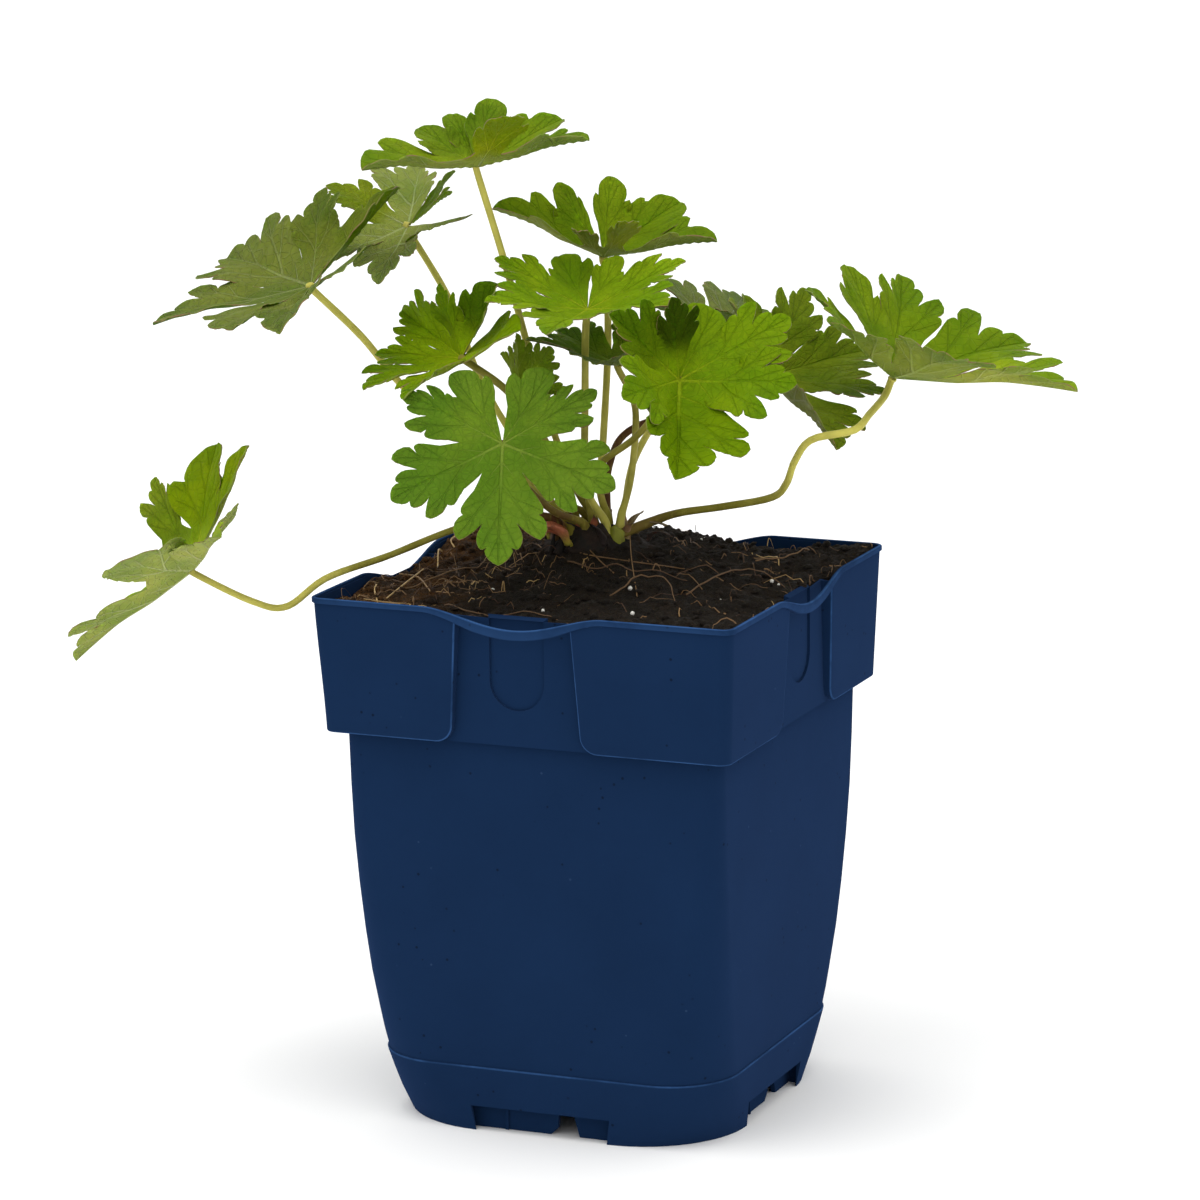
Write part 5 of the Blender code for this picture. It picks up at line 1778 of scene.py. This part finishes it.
def flat_leaf(leaf, rng, spacing):
    """Flat leaf in leaf lengths, cut into small faces that know their half lobe."""
    bm = bmesh.new()
    half_of = bm.faces.layers.int.new("half")
    centre = bm.verts.new((0, 0, 0))
    clefts = {low: bm.verts.new(flat_place(*cleft_of(leaf, low))) for low in range(LOBES - 1)}
    round_lobes = ROUND_LOBES.get(leaf.name, ())
    for number in range(LOBES):
        tip = bm.verts.new(lobe_place(number, 1.0, 0.0))
        for side in (-1, 1):
            boundary = number if side > 0 else number - 1
            index = half_index(number, side)
            simple = index >= ROUND_FROM or leaf.name in ROUND_LEAVES or number in round_lobes
            simple = simple and (leaf.name, number) != TOOTHED_LOBE
            shape = (ROUND_RUNS, ROUND_NOTCHES) if simple else (EDGE_RUNS, NOTCHES)
            loop = [centre, clefts[boundary]] if boundary in clefts else [centre]
            reach = cleft_of(leaf, boundary)[0] / LOBE_LENGTHS[number] if boundary in clefts else 0.0
            for along, across in half_edge(rng, half_width(leaf, number, side), *shape):
                if math.hypot(along, across) < reach * 1.02:
                    continue
                loop.append(bm.verts.new(lobe_place(number, along, side * across)))
            loop.append(tip)
            face = bm.faces.new(loop if side < 0 else list(reversed(loop)))
            face[half_of] = 2 * number + (side > 0)
    bm.normal_update()
    cuts = int(LEAF_REACH / spacing)
    for i in range(-cuts, cuts + 1):
        place = (i + CUT_SHIFT) * spacing
        cut_across(bm, (place, 0, 0), (1, 0, 0))
        cut_across(bm, (0, place, 0), (0, 1, 0))
    bmesh.ops.triangulate(bm, faces=[f for f in bm.faces if len(f.verts) > 4])
    return bm, half_of


def near_rib(along, across):
    """Distance to the nearest rib that shapes the blade."""
    best = 1.0
    for (ax, ay), (bx, by), _, _ in RIBS[:4]:
        dx, dy = bx - ax, by - ay
        share = max(0.0, min(1.0, ((along - ax) * dx + (across - ay) * dy) / (dx * dx + dy * dy)))
        best = min(best, math.hypot(along - ax - share * dx, across - ay - share * dy))
    return best


class LeafForm:
    """Bends the flat leaf into the pose of one leaf of the plant."""

    def __init__(self, leaf):
        self.leaf = leaf
        self.axes = leaf_axes(leaf)
        self.frames = [self.lobe_frame(number) for number in range(LOBES)]
        halves = [(number, side) for number in range(LOBES) for side in (-1, 1)]
        self.room = {half: self.room_beside(*half) for half in halves}
        self.across = {half: self.across_beside(*half) for half in halves}

    def direction(self, angle, lift):
        forward, sideways, normal = self.axes
        flat = forward * math.cos(angle) + sideways * math.sin(angle)
        return flat, flat * math.cos(lift) + normal * math.sin(lift)

    def lobe_frame(self, number):
        leaf = self.leaf
        lift = math.radians(leaf.lift[number])
        flat, rib = self.direction(math.radians(LOBE_ANGLES[number] + leaf.swing[number]), lift)
        normal = self.axes[2]
        up = normal * math.cos(lift) - flat * math.sin(lift)
        return rib, up, normal.cross(flat), leaf.length * LOBE_LENGTHS[number] * leaf.stretch[number]

    def room_beside(self, number, side):
        """Share of its flat width that half a lobe keeps where lobes lean towards each other."""
        neighbour = (number + side) % LOBES
        flat = side * (LOBE_ANGLES[neighbour] - LOBE_ANGLES[number]) % 360
        return min(1.0, self.frames[number][0].angle(self.frames[neighbour][0]) / math.radians(flat))

    def across_beside(self, number, side):
        """Direction across half a blade from its rib, mostly towards the neighbour's rib."""
        rib, _, sideways, _ = self.frames[number]
        if not 0 <= number + side < LOBES:
            return sideways * side
        towards = self.frames[number + side][0]
        towards = (towards - rib * towards.dot(rib)).normalized()
        return (sideways * side).lerp(towards, TOWARDS_NEIGHBOUR).normalized()

    def webbed(self, radius, angle):
        """Place in the blade's middle, where its lobes are joined."""
        leaf = self.leaf
        low = 0
        while low < LOBES - 2 and angle > LOBE_ANGLES[low + 1]:
            low += 1
        share = (angle - LOBE_ANGLES[low]) / (LOBE_ANGLES[low + 1] - LOBE_ANGLES[low])
        share = min(1.0, max(0.0, share))
        rows = (leaf.swing, leaf.lift, leaf.stretch)
        swing, lift, stretch = (mix(row[low], row[low + 1], share) for row in rows)
        _, rib = self.direction(math.radians(angle + swing), math.radians(lift))
        return rib * radius * leaf.length * stretch

    def on_lobe(self, number, radius, angle):
        turn = math.radians(angle - LOBE_ANGLES[number])
        length = LOBE_LENGTHS[number]
        along = radius * math.cos(turn) / length
        across = radius * math.sin(turn) / length
        rib, up, _, true_length = self.frames[number]
        outer = 1 if across > 0 else -1
        spread = abs(across) / half_width(self.leaf, number, outer)
        rise = LOBE_ARCH * along * (1 - along) + LOBE_FOLD * abs(across)
        quilt = QUILT * (1 - math.exp(-((near_rib(along, spread) / QUILT_WIDTH) ** 2)))
        wave = WAVE * math.sin(17 * along + 2.1 * number) * smooth_step((spread - 0.12) / 0.2)
        beside = self.across[number, outer] * (abs(across) * self.room[number, outer])
        own = (rib * along + beside + up * rise) * true_length
        shape = up * ((quilt * min(1.0, radius / 0.15) + wave) * true_length)
        web = self.webbed(radius, angle)
        return web.lerp(own, smooth_step((radius - WEB_RADIUS) / WEB_BLEND)) + shape

    def place(self, number, flat):
        radius = math.hypot(flat.x, flat.y)
        apart = math.degrees(math.atan2(flat.y, flat.x)) - LOBE_ANGLES[number]
        angle = LOBE_ANGLES[number] + (apart + 180) % 360 - 180
        point = self.on_lobe(number, radius, angle)
        neighbour = number + (1 if angle > LOBE_ANGLES[number] else -1)
        if 0 <= neighbour < LOBES:
            cleft_radius, cleft_angle = cleft_of(self.leaf, min(number, neighbour))
            share = 0.5 * (1 - smooth_step(abs(angle - cleft_angle) / CLEFT_BLEND_ANGLE))
            share *= 1 - smooth_step((radius - cleft_radius) / CLEFT_BLEND_REACH)
            if share > 0:
                point = point.lerp(self.on_lobe(neighbour, radius, angle), share)
        return Vector(self.leaf.joint) + point


def leaf_sheet(leaf, spacing):
    """Blade of one leaf as an open sheet with the place on its half lobe in its UV map."""
    bm, half_of = flat_leaf(leaf, random.Random(leaf.name), spacing * USUAL_LENGTH / leaf.length)
    uv = bm.loops.layers.uv.new("lobe")
    for face in bm.faces:
        number, outer = divmod(face[half_of], 2)
        width = half_width(leaf, number, 1 if outer else -1)
        turn = Matrix.Rotation(math.radians(-LOBE_ANGLES[number]), 2)
        for loop in face.loops:
            along, across = turn @ loop.vert.co.xy / LOBE_LENGTHS[number]
            loop[uv].uv = (along, abs(across) / width)
    form = LeafForm(leaf)
    tint = bm.verts.layers.float_color.new("tint")
    plain = Vector((1.0, 1.0, 1.0))
    shade = Vector(LEAF_TINTS.get(leaf.name, plain))
    # Painted shade of single lobes, blended in away from the joint and carried in the tint.
    lobe_shade_tints = LOBE_SHADE_TINTS.get(leaf.name, {})
    for vert in bm.verts:
        numbers = {face[half_of] // 2 for face in vert.link_faces}
        tints = [Vector(lobe_shade_tints.get(number, plain)) for number in numbers]
        own = plain.lerp(sum(tints, Vector()) / len(tints), smooth_step((vert.co.length - 0.12) / 0.25))
        vert[tint] = (*(a * b for a, b in zip(shade, own)), 1.0)
        places = [form.place(number, vert.co) for number in numbers]
        vert.co = sum(places, Vector()) / len(places)
    bm.normal_update()
    normal = form.axes[2]
    if sum(face.normal.dot(normal) for face in bm.faces) < 0:
        bmesh.ops.reverse_faces(bm, faces=bm.faces)
    return bm


# Patches of painted light and painted shade on a blade, and its tint at the joint and at the tips.
PATCH_SHADE = (0.76, 0.85, 0.75)
PATCH_LIGHT = (1.18, 1.10, 1.12)
HEART_TINT = (1.0, 1.0, 0.95)
TIP_TINT = (0.90, 0.94, 1.0)


def leaf_colour(tree, place, base, rib, dark, reach):
    """Colour and rib masks that both sides of a blade share. Ribs are pale up to reach and take the dark colour
    beyond it; on the upper side that dark colour is painted shade in the sunken ribs and net.
    """
    map_node = add_node(tree, "ShaderNodeUVMap", uv_map="lobe")
    ribs = place_group(tree, "leaf ribs", {"Place": map_node.outputs[0], "Width": 1.0})
    tint = marked(tree, "tint", "Color")
    # Painted light and painted shade in soft patches over the blade.
    light_and_shade_patches = ranged(tree, noise_node(tree, place, 42.0, 3.0, 0.5), 0.36, 0.64)
    shade = colour_mix(tree, light_and_shade_patches, PATCH_SHADE, PATCH_LIGHT)
    colour = colour_mix(tree, 1.0, base, shade, "MULTIPLY")
    colour = mottled(tree, colour, place, 130.0, 0.13)
    colour = mottled(tree, colour, place, 420.0, 0.09)
    tip = colour_mix(tree, ranged(tree, ribs["Along"], 0.25, 1.0), HEART_TINT, TIP_TINT)
    colour = colour_mix(tree, 1.0, colour, tip, "MULTIPLY")
    # On the upper side this darkening of the net is painted shade in its sunken lines.
    colour = colour_mix(tree, times(tree, ribs["Net"], 0.13), colour, dark)
    both = math_node(tree, "MAXIMUM", ribs["Main"], times(tree, ribs["Side"], 0.8))
    near = ranged(tree, ribs["Along"], 0.02, reach, 0.42, 0.0)
    far = ranged(tree, ribs["Along"], reach * 0.5, reach, 0.0, 0.27)
    # Far ribs take the dark colour, which on the upper side is painted shade in the sunken ribs.
    colour = colour_mix(tree, times(tree, both, far), colour, dark)
    colour = colour_mix(tree, times(tree, both, near), colour, rib)
    heart = ranged(tree, ribs["Along"], 0.0, 0.12, 0.05, 0.0)
    colour = colour_mix(tree, heart, colour, rib)
    return ribs, both, colour_mix(tree, 1.0, colour, tint, "MULTIPLY")


UNDER_RIB = (0.52, 0.55, 0.27, 1.0)
UNDER_FAR_RIB = (0.33, 0.37, 0.14, 1.0)
UPPER_RIB_SHADE = (0.055, 0.105, 0.004, 1.0)
MARGIN_GREEN = (0.16, 0.20, 0.03)
MARGIN_BROWN = (0.20, 0.11, 0.05)


def blade_material(name, base, rib, dark, reach, rib_height, roughness, gloss):
    """One side of a blade, with ribs that stand up, or are sunk where their height is below zero."""
    mat, tree, shader, place = new_material(
        name, roughness, Specular_IOR_Level=gloss, **translucent(0.3, (0.0008, 0.0013, 0.0003))
    )
    ribs, both, colour = leaf_colour(tree, place, base, rib, dark, reach)
    sheen = noise_node(tree, place, 300.0, 4.0)
    rough = ranged(tree, sheen, 0.3, 0.7, roughness - 0.06, roughness + 0.1)
    net = times(tree, ribs["Net"], 0.35 * rib_height)
    height = math_node(tree, "ADD", times(tree, both, rib_height), net)
    relief = bump(tree, height, 0.8, 0.0005)
    relief = bump(tree, noise_node(tree, place, 1300.0, 3.0), 0.18, 0.0002, relief)
    dress(tree, shader, colour, relief, rough)
    return mat


def margin_material():
    """The thin rim of a blade, green with brown stretches of wear."""
    mat, tree, shader, place = new_material("leaf_margin", 0.6, Specular_IOR_Level=0.3)
    wear_and_highlight = ranged(tree, noise_node(tree, place, 120.0, 3.0), 0.4, 0.65)
    dress(tree, shader, colour_mix(tree, wear_and_highlight, MARGIN_GREEN, MARGIN_BROWN))
    return mat


class PLANT_OT_leaves(Operator):
    """Grows the lobed blades with their ribs and folds"""

    bl_idname = "plant.leaves"
    bl_label = "Leaf blades"

    def execute(self, context):
        settings = context.scene.plant_foliage
        upper = blade_material(
            "leaf_upper",
            base=(*settings.upper, 1.0),
            rib=(*settings.rib, 1.0),
            dark=UPPER_RIB_SHADE,
            reach=0.5,
            rib_height=-1.0,
            roughness=0.55,
            gloss=0.02,
        )
        under = blade_material(
            "leaf_under",
            base=(*settings.under, 1.0),
            rib=UNDER_RIB,
            dark=UNDER_FAR_RIB,
            reach=1.4,
            rib_height=2.6,
            roughness=0.65,
            gloss=0.03,
        )
        margin = margin_material()
        for leaf in LEAVES:
            sheet = leaf_sheet(leaf, settings.spacing)
            name = f"leaf_blade_{leaf.name}"
            sides = [under, upper] if leaf.name in TURNED_LEAVES else [upper, under]
            obj = finish_piece(name, sheet, [*sides, margin], [f"leaf_{leaf.name}"], smooth=0)
            obj.data.shade_smooth()
            thicken(obj, settings.thickness, -1.0, under=1, rim=2)
            apply_modifiers(obj)
        return {"FINISHED"}


# ---------------------------------------------------------------- stalks

STALK_POINTS = 60
# Radius at the middle of a usual leaf's stalk, and its swellings under the blade and at the foot.
STALK_RADIUS = 1.12
NECK_SWELL = 0.28
FOOT_SWELL = 0.6
# How far a stalk runs straight from its blade, and how far under the joint it ends.
STALK_NECK = 1.4
STALK_GAP = 0.2
STALK_SQUASH = 0.92
STALK_OLIVE = (0.20, 0.18, 0.025)
STALK_BROWN = (0.10, 0.045, 0.020)
STALK_STREAK = (0.40, 0.37, 0.06)


def stalk_route(leaf):
    """Route of a stalk from under its blade down to the rootstock."""
    (along, across), passes = STALKS[leaf.name]
    _, _, normal = leaf_axes(leaf)
    top = Vector(leaf.joint) - normal * STALK_GAP
    foot = Vector((*crown_point(along, across), CROWN_TOP - 1.0))
    rise = SLANTING_RISES.get(leaf.name, STALK_RISE)
    points = [top, top - normal * STALK_NECK, *(Vector(p) for p in passes), foot + UP * rise, foot]
    return smooth_route(points, STALK_POINTS)


def stalk_radii(leaf, route):
    size = STALK_RADIUS * (0.75 + 0.25 * min(1.0, leaf.length / USUAL_LENGTH))
    radii = []
    for i in range(STALK_POINTS):
        share = i / (STALK_POINTS - 1)
        neck = NECK_SWELL * math.exp(-(((share - 0.02) / 0.03) ** 2))
        foot = FOOT_SWELL * smooth_step((share - 0.72) / 0.28)
        rough = 0.05 * noise.noise(route[i] * 0.35) + 0.03 * noise.noise(route[i] * 1.1)
        radii.append(size * (1 + neck + foot + rough))
    return radii


def stalk_material(settings):
    """Yellow-green skin that turns olive and brown towards the crown."""
    mat, tree, shader, place = new_material(
        "stalk_skin", 0.48, Specular_IOR_Level=0.08, **translucent(0.15, (0.0008, 0.0010, 0.0003))
    )
    ruddy = marked(tree, "ruddy")
    drift = times(tree, math_node(tree, "SUBTRACT", noise_node(tree, place, 60.0), 0.5), 0.9)
    spot = math_node(tree, "ADD", ruddy, drift)
    body = colour_mix(tree, ranged(tree, spot, 0.0, 0.5), (*settings.stalk, 1.0), STALK_OLIVE)
    body = colour_mix(tree, ranged(tree, spot, 0.45, 0.95), body, STALK_BROWN)
    streaks = vector_node(tree, "MULTIPLY", place, (1.0, 1.0, 0.15))
    grain = noise_node(tree, streaks, 900.0, 3.0)
    body = colour_mix(tree, ranged(tree, grain, 0.5, 0.8, 0.0, 0.35), body, STALK_STREAK)
    dress(tree, shader, mottled(tree, body, place, 260.0, 0.15), bump(tree, grain, 0.35, 0.0003))
    return mat


class PLANT_OT_stalks(Operator):
    """Grows a stalk from the rootstock to each leaf"""

    bl_idname = "plant.stalks"
    bl_label = "Stalks"

    def execute(self, context):
        mat = stalk_material(context.scene.plant_foliage)
        form = tube_template(12, STALK_POINTS)
        for leaf in LEAVES:
            bm = bmesh.new()
            ruddy = bm.verts.layers.float.new("ruddy")
            route = stalk_route(leaf)
            verts = append_copy(bm, form)
            set_along(verts, route, stalk_radii(leaf, route), STALK_SQUASH, ruddy)
            at_leaf, at_crown = STALK_TONES[leaf.name]
            for vert in verts:
                vert[ruddy] = mix(at_leaf, at_crown, smooth_step((vert[ruddy] - 0.35) / 0.6))
            bmesh.ops.recalc_face_normals(bm, faces=bm.faces)
            name = f"leaf_stalk_{leaf.name}"
            finish_piece(name, bm, [mat], [f"stalk_{leaf.name}"], smooth=70)
        bpy.data.meshes.remove(form)
        return {"FINISHED"}


# ---------------------------------------------------------------- stage

CAMERA_PLACE = Vector((623.88, -1524.64, 507.93))
CAMERA_YAW = 22.30
CAMERA_PITCH = 12.20
CAMERA_ROLL = -0.50
SENSOR_WIDTH = 36.0
# Metres: half the floor's side, and the overhead light's place, aim and size.
FLOOR_SIZE = 12.0
KEY_PLACE = Vector((-0.3, -0.6, 1.9))
KEY_AIM = Vector((0, 0, 0.15))
KEY_SIZE = 0.9


class PLANT_OT_stage(Operator):
    """Sets the pale floor, the soft lights and the camera"""

    bl_idname = "plant.stage"
    bl_label = "Stage"

    def execute(self, context):
        settings = context.scene.plant_stage
        scene = context.scene
        mat, tree, shader, place = new_material("floor_paper", 0.9, Specular_IOR_Level=0.0)
        dress(tree, shader, mottled(tree, (*settings.floor, 1.0), place, 1.5, 0.004))
        bm = bmesh.new()
        bmesh.ops.create_grid(bm, x_segments=2, y_segments=2, size=FLOOR_SIZE)
        mesh = bpy.data.meshes.new("floor")
        bm.to_mesh(mesh)
        bm.free()
        mesh.materials.append(mat)
        floor = bpy.data.objects.new("floor", mesh)
        scene.collection.objects.link(floor)

        world = bpy.data.worlds.new("surroundings")
        world.use_nodes = True
        tree = world.node_tree
        # Soft light from all round, stronger from above.
        direction = add_node(tree, "ShaderNodeTexCoord").outputs["Generated"]
        lean = vector_node(tree, "DOT_PRODUCT", direction, settings.lean)
        strength = math_node(tree, "ADD", lean, settings.world)
        wire(tree, tree.nodes["Background"].inputs["Strength"], strength)
        wire(tree, tree.nodes["Background"].inputs["Color"], (1, 1, 1, 1))
        scene.world = world
        scene.view_settings.view_transform = "Standard"

        light = bpy.data.lights.new("overhead", "AREA")
        light.shape = "DISK"
        light.size = KEY_SIZE
        light.energy = settings.key
        lamp = bpy.data.objects.new("overhead", light)
        lamp.location = KEY_PLACE
        lamp.rotation_euler = (KEY_AIM - KEY_PLACE).to_track_quat("-Z", "Y").to_euler()
        scene.collection.objects.link(lamp)

        camera = bpy.data.cameras.new("camera")
        camera.lens = settings.lens
        camera.sensor_width = SENSOR_WIDTH
        camera.clip_start = 0.05
        camera.clip_end = 60.0
        view = bpy.data.objects.new("camera", camera)
        view.location = CAMERA_PLACE * MM + POT_CENTRE
        turn = Matrix.Rotation(math.radians(CAMERA_YAW), 3, "Z")
        tilt = Matrix.Rotation(math.radians(90 - CAMERA_PITCH), 3, "X")
        roll = Matrix.Rotation(math.radians(CAMERA_ROLL), 3, "Z")
        view.rotation_euler = (turn @ tilt @ roll).to_euler()
        scene.collection.objects.link(view)
        scene.camera = view
        return {"FINISHED"}


# ---------------------------------------------------------------- panel and registration


class PLANT_PT_panel(Panel):
    """Buttons and settings for each piece of the plant"""

    bl_label = "Potted geranium"
    bl_idname = "PLANT_PT_panel"
    bl_space_type = "VIEW_3D"
    bl_region_type = "UI"
    bl_category = "Plant"

    def draw(self, context):
        for operator in OPERATORS:
            self.layout.operator(operator.bl_idname)
        for name in SETTINGS:
            settings = getattr(context.scene, name)
            for key in settings.__annotations__:
                self.layout.prop(settings, key)


SETTINGS = {
    "plant_pot": PotSettings,
    "plant_compost": CompostSettings,
    "plant_foliage": FoliageSettings,
    "plant_stage": StageSettings,
}
OPERATORS = (
    PLANT_OT_stage,
    PLANT_OT_pot,
    PLANT_OT_compost,
    PLANT_OT_fibres,
    PLANT_OT_crown,
    PLANT_OT_stalks,
    PLANT_OT_leaves,
)


def register():
    for cls in (*SETTINGS.values(), *OPERATORS, PLANT_PT_panel):
        bpy.utils.register_class(cls)
    for name, cls in SETTINGS.items():
        setattr(bpy.types.Scene, name, PointerProperty(type=cls))


def unregister():
    for name in SETTINGS:
        delattr(bpy.types.Scene, name)
    for cls in reversed((*SETTINGS.values(), *OPERATORS, PLANT_PT_panel)):
        bpy.utils.unregister_class(cls)


def main():
    register()
    make_rib_group()
    make_mottle_group()
    bpy.ops.plant.stage()
    bpy.ops.plant.pot()
    bpy.ops.plant.compost()
    bpy.ops.plant.fibres()
    bpy.ops.plant.crown()
    bpy.ops.plant.stalks()
    bpy.ops.plant.leaves()


if __name__ == "__main__":
    main()
